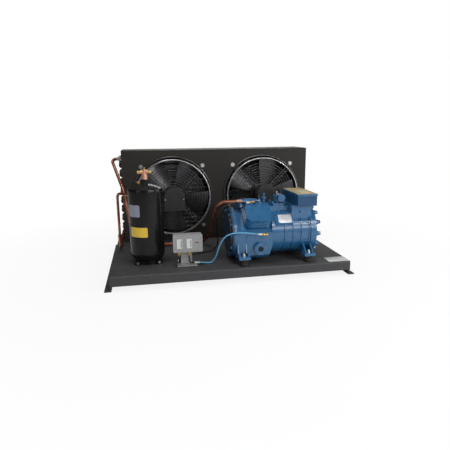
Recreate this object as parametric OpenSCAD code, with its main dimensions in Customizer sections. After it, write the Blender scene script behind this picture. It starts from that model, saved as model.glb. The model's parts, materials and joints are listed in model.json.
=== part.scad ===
// Air-cooled condensing unit with two fans, a liquid receiver and a V-type compressor.
// The origin is on the floor under the middle of the tray. +X runs along the long side,
// +Y runs back to the condenser and +Z is up.

/* [Base tray] */
// Length of the tray along X
tray_w = 1090; // [1080:1:1200]
// Depth of the tray along Y
tray_d = 790; // [786:1:860]
// Height of the tray's deck above the floor
deck_z = 67; // [58:1:90]
// Thickness of the tray's sheet
tray_t = 3; // [2:0.5:4]
// Height of the front and back skirts
skirt_h = 42; // [30:1:50]
// Outer radius of the folded edges
fold_r = 6; // [4:0.5:8]
// Thickness of a side rail
rail_t = 4; // [3:0.5:6]
// Width of a rail's flanges
rail_flange = 26; // [20:1:40]
// Radius of the floor bolt holes
floor_hole_r = 5.5; // [4:0.5:7]
// Distance between the floor bolt holes along Y
floor_hole_y = 650; // [500:1:700]

/* [Condenser] */
// Width of the condenser casing along X
cond_w = 1034; // [1024:1:1060]
// Height of the condenser casing
cond_h = 500; // [494:1:540]
// Middle of the casing along X
cond_x = 18; // [10:1:24]
// Front face of the casing along Y
panel_y = 185; // [170:1:188]
// Depth of the casing
cond_d = 204; // [195:1:206]
// Sheet thickness of the casing
sheet_t = 2; // [1:0.5:3]
// Radius of a fan opening
orifice_r = 207; // [203:1:210]
// Depth of the collar round a fan opening
collar_d = 34; // [28:1:50]
// Radius of the collar's rounded lip
lip_r = 9; // [6:1:11]
// Height of the fan centres above the deck
fan_z = 247; // [240:1:252]
// Distance between the two fan centres
fan_gap = 504; // [490:1:520]
// Vertical pitch of the coil tubes
tube_pitch = 25.4; // [24:0.1:26]
// Number of tubes in one row
tube_count = 18; // [10:2:18]
// Number of tube rows
row_count = 3; // [2:1:3]
// Distance between tube rows
row_pitch = 22; // [20:0.5:25]
// Radius of a coil tube
tube_r = 4.8; // [4:0.1:5.5]
// Distance between two fins
fin_pitch = 10; // [8:1:16]
// Thickness of one fin's edge
fin_t = 2; // [1:0.5:3]
// Depth of the fin edges in front of the first tubes
fin_lip = 5; // [3:0.5:5.5]
// Distance from the left tube sheet to the casing's right end plate
bend_room = 34; // [28:1:40]
// Radius of a header pipe
header_r = 10; // [8:0.5:12]

/* [Fans] */
// Radius over the blade tips
blade_tip_r = 198; // [185:1:200]
// Radius of the hub
hub_r = 58; // [50:1:64]
// Depth of the hub
hub_d = 34; // [28:1:44]
// Number of blades
blade_count = 5; // [4:1:6]
// Thickness of a blade
blade_t = 2; // [1.5:0.5:3]
// Pitch angle of a blade
blade_pitch = 24; // [15:1:28]
// Radius of the fan shaft
fan_shaft_r = 6; // [5:0.5:8]
// Radius of the guard's front ring
guard_front_r = 202; // [198:1:206]
// Radius of the guard's back ring
guard_back_r = 216.5; // [212:0.5:220]
// Distance of the front ring from the panel
guard_d = 31; // [26:1:40]
// Radius of the guard's thick rings
guard_rim_r = 3.6; // [3:0.1:4.5]
// Radius of the guard's thin rings
guard_wire_r = 1.6; // [1.2:0.1:2]
// Number of thin rings
guard_rings = 9; // [5:1:12]
// Radius of the four fixing eyes
guard_eye_r = 236; // [232:1:240]
// Distance between the two rods of an arm
arm_gap = 15; // [12:1:20]
// Width of the motor's front cover
motor_w = 108; // [100:1:116]
// Height of the motor's front cover
motor_h = 122; // [116:1:136]
// Depth of the motor's front cover
motor_cover_d = 38; // [30:1:50]
// Radius of the motor's body
motor_r = 48; // [42:1:52]
// Distance of the motor's front face from the guard's front ring
motor_reach = 92; // [70:1:110]

/* [Receiver] */
// Centre of the receiver along X
rec_x = -380; // [-400:1:-370]
// Centre of the receiver along Y
rec_y = -190; // [-200:1:-180]
// Radius of the receiver
rec_r = 79; // [70:1:84]
// Height of the receiver's shell
rec_h = 362; // [330:1:390]
// Gap between the shell and the deck
rec_lift = 6; // [4:1:12]
// Knuckle radius of the top dome
rec_top_r = 34; // [26:1:44]
// Knuckle radius of the bottom dome
rec_low_r = 46; // [36:1:52]
// Height of the middle weld above the deck
rec_seam_z = 186; // [170:1:200]
// Height of the inlet above the deck
rec_inlet_z = 302; // [290:1:315]

/* [Pressure switch] */
// Width of the switch
switch_w = 132; // [122:1:140]
// Height of the switch
switch_h = 80; // [70:1:86]
// Depth of the switch
switch_d = 48; // [42:1:56]
// Corner radius of the switch
switch_r = 5; // [3:1:8]
// Middle of the switch along X
switch_x = -203; // [-210:1:-190]
// Front face of the switch along Y
switch_y = -316; // [-322:1:-310]
// Height of the switch's underside above the deck
switch_z = 68; // [64:1:76]
// Width of the bracket's post
post_w = 50; // [44:1:60]
// Sheet thickness of the bracket
bracket_t = 3; // [2:0.5:4]

/* [Compressor] */
// Left end of the crankcase along X
comp_x = 6; // [0:1:12]
// Shaft axis of the compressor along Y
comp_y = -222; // [-226:1:-216]
// Height of the shaft axis above the deck
axis_z = 130; // [128:1:140]
// Length of the crankcase
crank_l = 179; // [178:1:186]
// Half width of the crankcase
crank_half_w = 113; // [111:1:118]
// Depth of the crankcase's floor below the axis
crank_floor = 105; // [100:1:107]
// Corner cut of the crankcase's floor
crank_cut = 15; // [10:1:20]
// Distance of the cylinder bank faces from the axis
bank_face = 90; // [86:1:92]
// Angle of a cylinder bank from upright
bank_angle = 45; // [43:1:47]
// Middle of the cylinder banks from the crankcase's left end
bank_x = 114; // [110:1:116]
// Length of a cylinder head
head_w = 122; // [112:1:126]
// Width of a cylinder head
head_d = 102; // [96:1:104]
// Thickness of a cylinder head
head_t = 38; // [30:1:44]
// Thickness of a valve plate
plate_t = 6; // [4:0.5:8]
// Radius of the motor barrel
barrel_r = 108; // [104:1:110]
// Length of the motor barrel
barrel_l = 200; // [196:1:210]
// Height of a barrel rib
rib_h = 4; // [2:0.5:5]
// Width of a barrel rib
rib_w = 6; // [4:0.5:8]
// Radius of the end flanges
flange_r = 115; // [113:1:118]
// Thickness of an end flange
flange_t = 14; // [10:1:16]
// Bolt circle radius of the end covers
cover_bolt_r = 102; // [100:1:104]
// Number of bolts in an end cover
cover_bolts = 12; // [8:2:12]
// Bore of the motor barrel
barrel_bore_r = 88; // [84:1:92]
// Radius of the crankshaft
shaft_r = 16; // [14:0.5:18]
// Radial running clearance of the shafts
run_gap = 0.05; // [0.03:0.01:0.08]
// Offset of a crank throw
throw_offset = 15; // [10:1:18]
// Radius of a crank throw
throw_r = 27; // [26:1:30]
// Distance between the feet along X
foot_x = 308; // [300:1:316]
// Distance between the feet along Y
foot_y = 256; // [252:1:260]
// First foot from the crankcase's left end
foot_start = 40; // [36:1:46]
// Height of a rubber mount
mount_h = 31; // [26:1:36]
// Radius of a rubber mount
mount_r = 22; // [18:1:24]
// Width of the terminal box along X
term_w = 92; // [84:1:96]
// Depth of the terminal box along Y
term_d = 222; // [200:1:230]
// Height of the terminal box
term_h = 50; // [44:1:56]
// Thickness of the terminal box lid
lid_t = 10; // [8:1:14]

/* [Hidden] */
$fn = 48;

// Shared clearances and the overrun of every cut
cut = 1;
seat_gap = 0.3;
slip_gap = 0.2;
// Elbows are this much fatter than the straight pipes that enter them
elbow_lip = 0.3;

tray_paint = [0.20, 0.20, 0.21];
case_paint = [0.17, 0.165, 0.15];
comp_paint = [0.20, 0.40, 0.58];
copper = [0.66, 0.38, 0.28];
brass = [0.80, 0.66, 0.30];
zinc = [0.78, 0.78, 0.80];
black_steel = [0.09, 0.09, 0.09];

// Half sizes and levels that many pieces share
half_w = tray_w / 2;
half_d = tray_d / 2;
cond_left = cond_x - cond_w / 2;
cond_right = cond_x + cond_w / 2;
cond_back = panel_y + cond_d;
axis_h = deck_z + axis_z;
fan_h = deck_z + fan_z;
fan_shift = 2;
fan_mid = cond_x + fan_shift;

// Unit vectors and a rigid placement whose Z runs along d
function unit(v) = v / norm(v);
function side_of(d) = unit(cross(abs(d.z) < 0.9 ? [0, 0, 1] : [1, 0, 0], d));
module along(p, d) {
    z = unit(d);
    x = side_of(z);
    y = cross(z, x);
    multmatrix([[x.x, y.x, z.x, p.x], [x.y, y.y, z.y, p.y], [x.z, y.z, z.z, p.z], [0, 0, 0, 1]])
        children();
}

// A straight round bar between two points
module bar(a, b, r) {
    along(a, b - a) cylinder(r = r, h = norm(b - a));
}

// Block with its lowest corner at p
module block(p, size) {
    translate(p) cube(size);
}

// Rectangle with rounded corners, centred
module round_rect(w, h, r) {
    square([w - 2 * r, h], center = true);
    square([w, h - 2 * r], center = true);
    for (sx = [-1, 1], sy = [-1, 1])
        translate([sx * (w / 2 - r), sy * (h / 2 - r)]) circle(r);
}

// Hexagon prism by its distance across flats
module hex(across, h) {
    cylinder(r = across / 2 / cos(30), h = h, $fn = 6);
}

// Bolt head with a washer face, standing on z = 0
module bolt_head(r) {
    cylinder(r = r * 1.15, h = r * 0.2);
    hex(2 * r, r * 1.15);
}

// Turns a thing that stands along Z so that it lies along X or Y
module lay_x() {
    rotate([0, 90, 0]) children();
}
module lay_y() {
    rotate([-90, 0, 0]) children();
}

// Pipe run: straight lengths joined by round elbows, each with its own bend radius
function turn_at(p, i) = acos(unit(p[i] - p[i - 1]) * unit(p[i + 1] - p[i]));
function trim_at(p, i, bends) =
    i == 0 || i == len(p) - 1 ? 0 : bends[i - 1] * tan(turn_at(p, i) / 2);
module elbow(a, b, c, bend, r) {
    d1 = unit(b - a);
    d2 = unit(c - b);
    turn = acos(d1 * d2);
    n = unit(d2 - (d2 * d1) * d1);
    m = b - d1 * bend * tan(turn / 2) + n * bend;
    w = cross(-n, d1);
    multmatrix([[-n.x, d1.x, w.x, m.x], [-n.y, d1.y, w.y, m.y], [-n.z, d1.z, w.z, m.z],
            [0, 0, 0, 1]])
        rotate_extrude(angle = turn) translate([bend, 0]) circle(r + elbow_lip);
}
module pipe_run(p, r, bends) {
    for (i = [0 : len(p) - 2]) {
        d = unit(p[i + 1] - p[i]);
        bar(p[i] + d * (i == 0 ? 0 : trim_at(p, i, bends) - cut),
            p[i + 1] - d * (i == len(p) - 2 ? 0 : trim_at(p, i + 1, bends) - cut), r);
    }
    for (i = [1 : len(p) - 2]) elbow(p[i - 1], p[i], p[i + 1], bends[i - 1], r);
}

// Smooth route through hand-set points and the tube swept along it
function blend(a, b, c, d, t) = 0.5 * (2 * b + (c - a) * t + (2 * a - 5 * b + 4 * c - d) * t * t
    + (3 * b - a - 3 * c + d) * t * t * t);
function smooth_route(p, steps) = concat([for (i = [0 : len(p) - 2], s = [0 : steps - 1])
    blend(p[max(i - 1, 0)], p[i], p[i + 1], p[min(i + 2, len(p) - 1)], s / steps)],
    [p[len(p) - 1]]);
function heading(q, i, ends) = i == 0 ? ends[0] : i == len(q) - 1 ? ends[1] :
    unit(q[i + 1] - q[i - 1]);
function carried(side, d) = unit(side - (side * d) * d);
function sides_of(q, i, side, ends) = i == len(q) ? [] :
    let(s = carried(side, heading(q, i, ends))) concat([s], sides_of(q, i + 1, s, ends));
module swept_tube(q, r, n, ends) {
    side = sides_of(q, 0, side_of(ends[0]), ends);
    points = [for (i = [0 : len(q) - 1], k = [0 : n - 1])
        let(d = heading(q, i, ends), a = 360 * k / n)
        q[i] + r * (cos(a) * side[i] + sin(a) * cross(d, side[i]))];
    last = len(q) - 1;
    walls = [for (i = [0 : last - 1], k = [0 : n - 1], half = [0, 1])
        let(k2 = (k + 1) % n)
        half == 0 ? [i * n + k, i * n + k2, (i + 1) * n + k2]
            : [i * n + k, (i + 1) * n + k2, (i + 1) * n + k]];
    caps = [[for (k = [n - 1 : -1 : 0]) k], [for (k = [0 : n - 1]) last * n + k]];
    polyhedron(points = points, faces = [for (f = concat(walls, caps)) [f[2], f[1], f[0],
        if (len(f) > 3) each [for (j = [len(f) - 1 : -1 : 3]) f[j]]]]);
}

/* Base tray and rails */
rail_hole_x = half_w + rail_flange / 2;
tray_hole_x = [221, 244, 278];
tray_hole_y = -323;
tray_hole_r = 2.5;

module sheet_section(w, h, r) {
    translate([-w / 2, -h]) square([w, h - r]);
    translate([-w / 2 + r, -2 * r]) square([w - 2 * r, 2 * r]);
    for (s = [-1, 1]) translate([s * (w / 2 - r), -r]) circle(r);
}

module base_tray() {
    color(tray_paint) difference() {
        translate([-half_w, 0, deck_z]) rotate([90, 0, 90]) linear_extrude(tray_w) difference() {
            sheet_section(tray_d, skirt_h, fold_r);
            translate([0, -tray_t]) sheet_section(tray_d - 2 * tray_t, skirt_h, fold_r - tray_t);
        }
        for (x = tray_hole_x) translate([x, tray_hole_y, deck_z - tray_t - cut])
            cylinder(r = tray_hole_r, h = tray_t + 2 * cut);
        for (p = mount_places) translate([p.x, p.y, deck_z - tray_t - cut])
            cylinder(r = mount_bolt_r + seat_gap, h = tray_t + 2 * cut);
    }
}

module rail(side) {
    z1 = deck_z - tray_t;
    mirror([side < 0 ? 1 : 0, 0, 0]) difference() {
        translate([0, half_d - fold_r, 0]) rotate([90, 0, 0])
            linear_extrude(tray_d - 2 * fold_r) polygon([
                [half_w - rail_flange, z1], [half_w, z1], [half_w, rail_t],
                [half_w + rail_flange, rail_t], [half_w + rail_flange, 0], [half_w - rail_t, 0],
                [half_w - rail_t, z1 - rail_t], [half_w - rail_flange, z1 - rail_t]]);
        for (s = [-1, 1]) translate([rail_hole_x, s * floor_hole_y / 2, -cut])
            cylinder(r = floor_hole_r, h = rail_t + 2 * cut);
    }
}
module rail_left() {
    color(tray_paint) rail(-1);
}
module rail_right() {
    color(tray_paint) rail(1);
}

/* Condenser casing and coil */
fan_places = [fan_mid - fan_gap / 2, fan_mid + fan_gap / 2];
guard_bolt_r = 4;
coil_d = row_count * row_pitch;
coil_inset = 10;
coil_back = cond_back - coil_inset;
coil_front = coil_back - coil_d;
tube_low = 12;
coil_low = deck_z + sheet_t + tube_low;
sheet_x_right = cond_right - bend_room;
fin_left = cond_left + sheet_t;
fin_right = sheet_x_right - sheet_t;
tube_out = 5;
function tube_z(row, i) = coil_low + tube_pitch * (i + 0.5 + (row % 2) / 2) - tube_pitch / 4;
function tube_y(row) = coil_front + row_pitch * (row + 0.5);
coil_gap = 2;
coil_high = deck_z + cond_h - sheet_t - coil_gap;
lip_drop = 14;

module tube_holes(x, depth) {
    for (row = [0 : row_count - 1], i = [0 : tube_count - 1])
        translate([x - cut, tube_y(row), tube_z(row, i)]) lay_x()
            cylinder(r = tube_r + slip_gap, h = depth + 2 * cut);
}

module fan_shroud() {
    color(case_paint) difference() {
        union() {
            block([cond_left, panel_y, deck_z], [cond_w, sheet_t, cond_h]);
            for (x = fan_places) translate([x, panel_y + sheet_t, fan_h]) lay_y()
                rotate_extrude($fn = 96) {
                    translate([orifice_r, -sheet_t]) square([sheet_t, collar_d]);
                    translate([orifice_r, -sheet_t]) square([lip_r, lip_r]);
                }
        }
        for (x = fan_places) {
            translate([x, panel_y - cut, fan_h]) lay_y()
                cylinder(r = orifice_r, h = collar_d + 2 * cut, $fn = 96);
            translate([x, panel_y, fan_h]) lay_y() rotate_extrude($fn = 96) difference() {
                translate([orifice_r - cut, -cut]) square([lip_r + cut, lip_r + cut]);
                translate([orifice_r + lip_r, lip_r]) circle(lip_r);
            }
            for (a = [45 : 90 : 315]) translate([x + guard_eye_r * cos(a), panel_y - cut,
                    fan_h + guard_eye_r * sin(a)]) lay_y()
                cylinder(r = guard_bolt_r + slip_gap, h = sheet_t + 2 * cut);
        }
    }
}

module casing_top() {
    y0 = panel_y + sheet_t;
    z0 = deck_z + cond_h - sheet_t;
    color(case_paint) {
        block([cond_left, y0, z0], [cond_w, cond_d - sheet_t, sheet_t]);
        block([cond_left, cond_back - sheet_t, z0 - lip_drop], [cond_w, sheet_t, lip_drop]);
    }
}

module casing_floor() {
    y0 = panel_y + sheet_t;
    color(case_paint) {
        block([cond_left, y0, deck_z], [cond_w, cond_d - sheet_t, sheet_t]);
        block([cond_left, cond_back - sheet_t, deck_z + sheet_t],
            [cond_w, sheet_t, lip_drop - sheet_t]);
    }
}

module end_sheet(x) {
    z0 = deck_z + sheet_t;
    block([x, panel_y + sheet_t, z0], [sheet_t, cond_d - 2 * sheet_t, cond_h - 2 * sheet_t]);
}
module tube_sheet_left() {
    color(case_paint) difference() {
        end_sheet(cond_left);
        tube_holes(cond_left, sheet_t);
    }
}
module tube_sheet_right() {
    color(zinc) difference() {
        end_sheet(sheet_x_right - sheet_t);
        tube_holes(sheet_x_right - sheet_t, sheet_t);
    }
}
module casing_end_right() {
    color(case_paint) end_sheet(cond_right - sheet_t);
}

// Fin pack: one block whose front and back faces are cut into fin edges
module coil_fins() {
    length = fin_right - fin_left;
    count = floor(length / fin_pitch);
    edge = (length - (count - 1) * fin_pitch - fin_t) / 2;
    front = [for (i = [0 : count - 1], k = [0 : 3])
        [fin_left + edge + i * fin_pitch + (k > 1 ? fin_t : 0),
        k == 0 || k == 3 ? coil_front + fin_lip : coil_front]];
    back = [for (i = [count - 1 : -1 : 0], k = [0 : 3])
        [fin_left + edge + i * fin_pitch + (k < 2 ? fin_t : 0),
        k == 0 || k == 3 ? coil_back - fin_lip : coil_back]];
    color([0.30, 0.31, 0.31]) difference() {
        translate([0, 0, deck_z + sheet_t]) linear_extrude(coil_high - deck_z - sheet_t)
            polygon(concat([[fin_left, coil_front + fin_lip]], front,
                [[fin_right, coil_front + fin_lip], [fin_right, coil_back - fin_lip]], back,
                [[fin_left, coil_back - fin_lip]]));
        tube_holes(fin_left, length);
    }
}

tube_left = cond_left - tube_out;
tube_right = sheet_x_right + tube_out;
module coil_tubes() {
    color(copper) for (row = [0 : row_count - 1], i = [0 : tube_count - 1])
        translate([tube_left, tube_y(row), tube_z(row, i)]) lay_x()
            cylinder(r = tube_r, h = tube_right - tube_left);
}

// One hairpin bend that joins tube i to the tube above it
module return_bend(row, i, side) {
    x = side < 0 ? tube_left : tube_right;
    translate([x, tube_y(row), tube_z(row, i) + tube_pitch / 2])
        rotate([90, side < 0 ? 0 : 180, 0]) rotate([0, 0, 90])
        rotate_extrude(angle = 180) translate([tube_pitch / 2, 0]) circle(tube_r);
}
module return_bends_left() {
    color(copper) for (row = [0 : row_count - 1], i = [1 : 2 : tube_count - 3])
        return_bend(row, i, -1);
}
module return_bends_right() {
    color(copper) for (row = [0 : row_count - 1], i = [0 : 2 : tube_count - 2])
        return_bend(row, i, 1);
}

header_gap = 3;
header_lead = 34;
header_x = tube_left - header_gap - header_r;
header_over = 22;
gas_z = tube_z(0, tube_count - 1);
liquid_z = tube_z(0, 0);
gas_front = tube_y(0) - header_lead;
module header(z_row, front) {
    translate([header_x, front, z_row]) lay_y()
        cylinder(r = header_r, h = tube_y(row_count - 1) + header_over - front);
}
module header_stub(row, i, z) {
    y = tube_y(row);
    bar([tube_left, y, tube_z(row, i)], [header_x, y, tube_z(row, i)], tube_r);
}
gas_stub = 11;
gas_stub_r = 9;
module gas_header() {
    color(zinc) {
        header(gas_z, gas_front - header_r);
        bar([header_x, gas_front, gas_z], [header_x - gas_stub, gas_front, gas_z], gas_stub_r);
        for (row = [0 : row_count - 1]) header_stub(row, tube_count - 1, gas_z);
    }
}
module liquid_header() {
    color(copper) {
        header(liquid_z, gas_front);
        for (row = [0 : row_count - 1]) header_stub(row, 0, liquid_z);
    }
}

/* Fans */
guard_y = panel_y - guard_d;
eye_r = 14;
eye_t = 2;
washer_r = 10;
guard_in_r = 62;
tie_count = 12;
weld_gap = 0.25;
rod_r = 2.2;
rod_sink = 1.5;
rod_y = guard_y + guard_rim_r + rod_r - rod_sink;
rod_over = 9;
rod_bend = 8;
guard_back_y = panel_y - seat_gap - guard_rim_r;
ring_step = (guard_front_r - guard_in_r) / (guard_rings + 1);
motor_behind = 14;
motor_back = guard_y + motor_behind;
motor_front = guard_y - motor_reach;
motor_plate_t = 3;
hub_set = 4;
hub_front = panel_y + hub_set;
hub_wall = 3;
spigot = 24;
arm_in = 2;
washer_t = 1.5;
screw_head_r = 6;
screw_head_h = 3;
screw_tail = 6;
lug_r = 8;
lug_x_share = 0.46;
lug_z_share = 0.47;
lug_d_share = 0.7;
strap_l = 18;
strap_sink = 4;
strap_y = rod_y + rod_r + seat_gap;
strap_w_share = 1.6;
dish_share = 0.8;
dish_d = 2;
vent_count = 9;
vent_share = 0.62;
vent_r = 2.5;
vent_d = 6;

module ring(r, wire, y) {
    translate([0, y, 0]) lay_y() rotate_extrude($fn = 96) translate([r, 0]) circle(wire, $fn = 24);
}
module guard(x) {
    translate([x, 0, fan_h]) {
        ring(guard_front_r, guard_rim_r, guard_y);
        ring(guard_back_r, guard_rim_r, guard_back_y);
        for (i = [0 : guard_rings - 1])
            ring(guard_in_r + i * ring_step, guard_wire_r, rod_y - rod_r - weld_gap - guard_wire_r);
        for (a = [45 : 90 : 315], s = [-1, 1]) rotate([0, -a, 0]) {
            z = s * arm_gap / 2;
            pipe_run([[motor_r + arm_in, rod_y, z], [guard_front_r + rod_over, rod_y, z],
                [guard_eye_r - eye_r + eye_t, panel_y - eye_t, z / 2]], rod_r, [rod_bend]);
        }
        for (a = [45 : 90 : 315]) translate([guard_eye_r * cos(a), panel_y - eye_t,
                guard_eye_r * sin(a)]) lay_y() difference() {
            cylinder(r = eye_r, h = eye_t);
            translate([0, 0, -cut]) cylinder(r = guard_bolt_r + slip_gap, h = eye_t + 2 * cut);
        }
        for (i = [0 : tie_count - 1]) rotate([0, -(i + 0.5) * 360 / tie_count, 0])
            bar([guard_front_r, guard_y, 0], [guard_back_r, guard_back_y, 0], guard_wire_r);
    }
}
module fan_guard_left() {
    color(black_steel) guard(fan_places[0]);
}
module fan_guard_right() {
    color(black_steel) guard(fan_places[1]);
}

module guard_bolts() {
    color(zinc) for (x = fan_places, a = [45 : 90 : 315])
        translate([x + guard_eye_r * cos(a), panel_y - eye_t, fan_h + guard_eye_r * sin(a)]) {
            rotate([90, 0, 0]) cylinder(r = washer_r, h = washer_t);
            rotate([90, 0, 0]) cylinder(r = screw_head_r, h = washer_t + screw_head_h);
            lay_y() cylinder(r = guard_bolt_r, h = eye_t + sheet_t + screw_tail);
        }
}

// Front cover outline: square foot, arched top
module motor_outline(w, h) {
    r = w / 2;
    translate([-w / 2, -h / 2]) square([w, h - r]);
    translate([0, h / 2 - r]) circle(r);
}
module fan_motor(x) {
    translate([x, 0, fan_h]) difference() {
        union() {
            translate([0, motor_front + motor_cover_d, 0]) rotate([90, 0, 0])
                linear_extrude(motor_cover_d) motor_outline(motor_w, motor_h);
            translate([0, motor_front + motor_cover_d, 0]) lay_y()
                cylinder(r = motor_r, h = motor_back - motor_front - motor_cover_d + spigot / 2);
            for (s = [-1, 1]) translate([s * motor_w * lug_x_share, motor_front + motor_cover_d,
                    -motor_h * lug_z_share]) rotate([90, 0, 0])
                cylinder(r = lug_r, h = motor_cover_d * lug_d_share);
            for (a = [45 : 90 : 315]) rotate([0, -a, 0])
                block([motor_r - strap_sink, strap_y, -arm_gap * strap_w_share / 2],
                    [strap_l, motor_plate_t, arm_gap * strap_w_share]);
        }
        translate([0, motor_back - spigot, 0]) lay_y()
            cylinder(r = fan_shaft_r + run_gap, h = 3 * spigot);
        translate([0, motor_front - cut, 0]) lay_y()
            cylinder(r = motor_r * dish_share, h = dish_d + cut);
        for (i = [0 : vent_count - 1]) rotate([0, (i + 0.5) * 360 / vent_count, 0])
            translate([motor_r * vent_share, motor_front, 0]) lay_y()
            cylinder(r = vent_r, h = vent_d);
    }
}
module fan_motor_left() {
    color(black_steel) fan_motor(fan_places[0]);
}
module fan_motor_right() {
    color(black_steel) fan_motor(fan_places[1]);
}

// Blade: a rounded swept outline cut from a tilted, bowed sheet
blade_root_share = 0.9;
blade_bow_r = 150;
blade_bow_share = 0.7;
blade_r_shares = [0.15, 0.34, 0.65, 0.9, 1.04];
blade_lead_shares = [0.08, 0.17, 0.34, 0.44, 0.40];
blade_trail_shares = [0.08, 0.19, 0.34, 0.42, 0.44];
module blade() {
    far = len(blade_r_shares) - 1;
    intersection() {
        lay_y() translate([0, 0, -hub_d]) linear_extrude(3 * hub_d) intersection() {
            difference() {
                circle(blade_tip_r, $fn = 96);
                circle(hub_r * blade_root_share);
            }
            polygon(blade_tip_r * concat(
                [for (i = [0 : far]) [blade_r_shares[i], -blade_lead_shares[i]]],
                [for (i = [far : -1 : 0]) [blade_r_shares[i], blade_trail_shares[i]]]));
        }
        translate([0, hub_d / 2, 0]) rotate([blade_pitch, 0, 0])
            translate([hub_r / 2, blade_bow_r, 0]) lay_x() difference() {
                cylinder(r = blade_bow_r, h = blade_tip_r, $fn = 96);
                translate([0, 0, -cut])
                    cylinder(r = blade_bow_r - blade_t, h = blade_tip_r + 2 * cut, $fn = 96);
                translate([-2 * blade_bow_r, -blade_bow_r * blade_bow_share, -cut])
                    cube([4 * blade_bow_r, 3 * blade_bow_r, blade_tip_r + 2 * cut]);
            }
    }
}
module impeller(x, turn) {
    translate([x, hub_front, fan_h]) rotate([0, turn, 0]) {
        lay_y() difference() {
            cylinder(r = hub_r, h = hub_d);
            translate([0, 0, hub_wall]) difference() {
                cylinder(r = hub_r - hub_wall, h = hub_d);
                translate([0, 0, -cut]) cylinder(r = fan_shaft_r * 2, h = hub_d + 2 * cut);
            }
        }
        translate([0, motor_back - spigot + seat_gap - hub_front, 0]) lay_y()
            cylinder(r = fan_shaft_r, h = hub_front - motor_back + spigot + cut);
        for (i = [0 : blade_count - 1]) rotate([0, i * 360 / blade_count, 0]) blade();
    }
}
blade_turn_left = 20;
blade_turn_right = 5;
module fan_impeller_left() {
    color([0.37, 0.36, 0.38]) impeller(fan_places[0], blade_turn_left);
}
module fan_impeller_right() {
    color([0.37, 0.36, 0.38]) impeller(fan_places[1], blade_turn_right);
}

/* Liquid receiver */
rec_z = deck_z + rec_lift;
crown_r = 2 * rec_r;
seam_w = 4;
neck_r = 17;
neck_h = 20;
foot_r = 58;
foot_t = 4;
rec_bolt_r = 5;
valve_r = 14;
valve_h = 44;
valve_arm = 29;
arm_r = 5.5;
tip_l = 3;
stem_r = 4;
plug_x = -27;
neck_rim = 3;
neck_sink = 6;
neck_floor = 2;
stub_sink = 4;
plug_boss_r = 9;
plug_boss_sink = 10;
seam_lip = 1;
skirt_up = 20;
ear_l = 24;
ear_w = 26;
ear_bolt = 10;
stem_seat = 4;
arm_nut_lip = 3;
plug_neck_r = 6;
plug_neck_h = 3;
plug_flat = 15;
plug_h = 7;
body_share = 0.45;
stalk_share = 0.75;
arm_z_share = 0.7;
arm_body_share = 0.55;
arm_r_share = 0.72;
arm_nut_share = 0.15;
arm_end_share = 0.45;
square_share = 0.7;
square_h = 6.4;
inlet_angle = 126.5;
inlet_r = 10;
inlet_out = 14;

module dome_half(r, h, knuckle) {
    intersection() {
        union() {
            square([r - knuckle, h]);
            translate([r - knuckle, h - knuckle]) circle(knuckle);
            square([r, h - knuckle]);
        }
        square([r, h]);
        translate([0, h - crown_r]) circle(crown_r, $fn = 96);
    }
}
module receiver_shell() {
    seam = deck_z + rec_seam_z;
    top = rec_z + rec_h;
    color([0.11, 0.105, 0.11]) translate([rec_x, rec_y, 0]) {
        translate([0, 0, seam]) rotate_extrude($fn = 96) dome_half(rec_r, top - seam, rec_top_r);
        mirror([0, 0, 1]) translate([0, 0, -seam]) rotate_extrude($fn = 96)
            dome_half(rec_r, seam - rec_z, rec_low_r);
        translate([0, 0, seam - seam_w / 2]) cylinder(r = rec_r + seam_lip, h = seam_w, $fn = 96);
        difference() {
            translate([0, 0, top - neck_sink]) cylinder(r = neck_r, h = neck_h + neck_sink);
            translate([0, 0, top + neck_floor]) cylinder(r = valve_r - neck_rim, h = neck_h);
        }
        rotate([0, 0, inlet_angle]) translate([rec_r - stub_sink, 0, deck_z + rec_inlet_z])
            lay_x() cylinder(r = inlet_r, h = inlet_out + stub_sink);
        translate([plug_x, 0, top - plug_boss_sink]) cylinder(r = plug_boss_r, h = plug_boss_sink);
    }
}

module receiver_foot() {
    color([0.12, 0.12, 0.12]) translate([rec_x, rec_y, deck_z]) difference() {
        union() {
            difference() {
                cylinder(r = foot_r, h = rec_lift + skirt_up);
                translate([0, 0, -cut]) cylinder(r = foot_r - foot_t, h = rec_lift + skirt_up + 2 * cut);
            }
            for (a = [45 : 90 : 315]) rotate([0, 0, a])
                translate([foot_r - foot_t, -ear_w / 2, 0]) cube([ear_l, ear_w, foot_t]);
        }
        translate([-rec_x, -rec_y, -deck_z]) mirror([0, 0, 1])
            translate([rec_x, rec_y, -(deck_z + rec_seam_z)]) rotate_extrude($fn = 96)
            dome_half(rec_r + seat_gap, deck_z + rec_seam_z - rec_z + seat_gap, rec_low_r);
        for (a = [45 : 90 : 315]) rotate([0, 0, a]) translate([foot_r + ear_bolt, 0, -cut])
            cylinder(r = rec_bolt_r, h = foot_t + 2 * cut);
    }
}
module receiver_bolts() {
    color(zinc) for (a = [45 : 90 : 315]) translate([rec_x, rec_y, deck_z + foot_t])
        rotate([0, 0, a]) translate([foot_r + ear_bolt, 0, 0]) {
            bolt_head(rec_bolt_r * 1.4);
            translate([0, 0, -foot_t]) cylinder(r = rec_bolt_r - seat_gap, h = foot_t + cut);
        }
}

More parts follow.
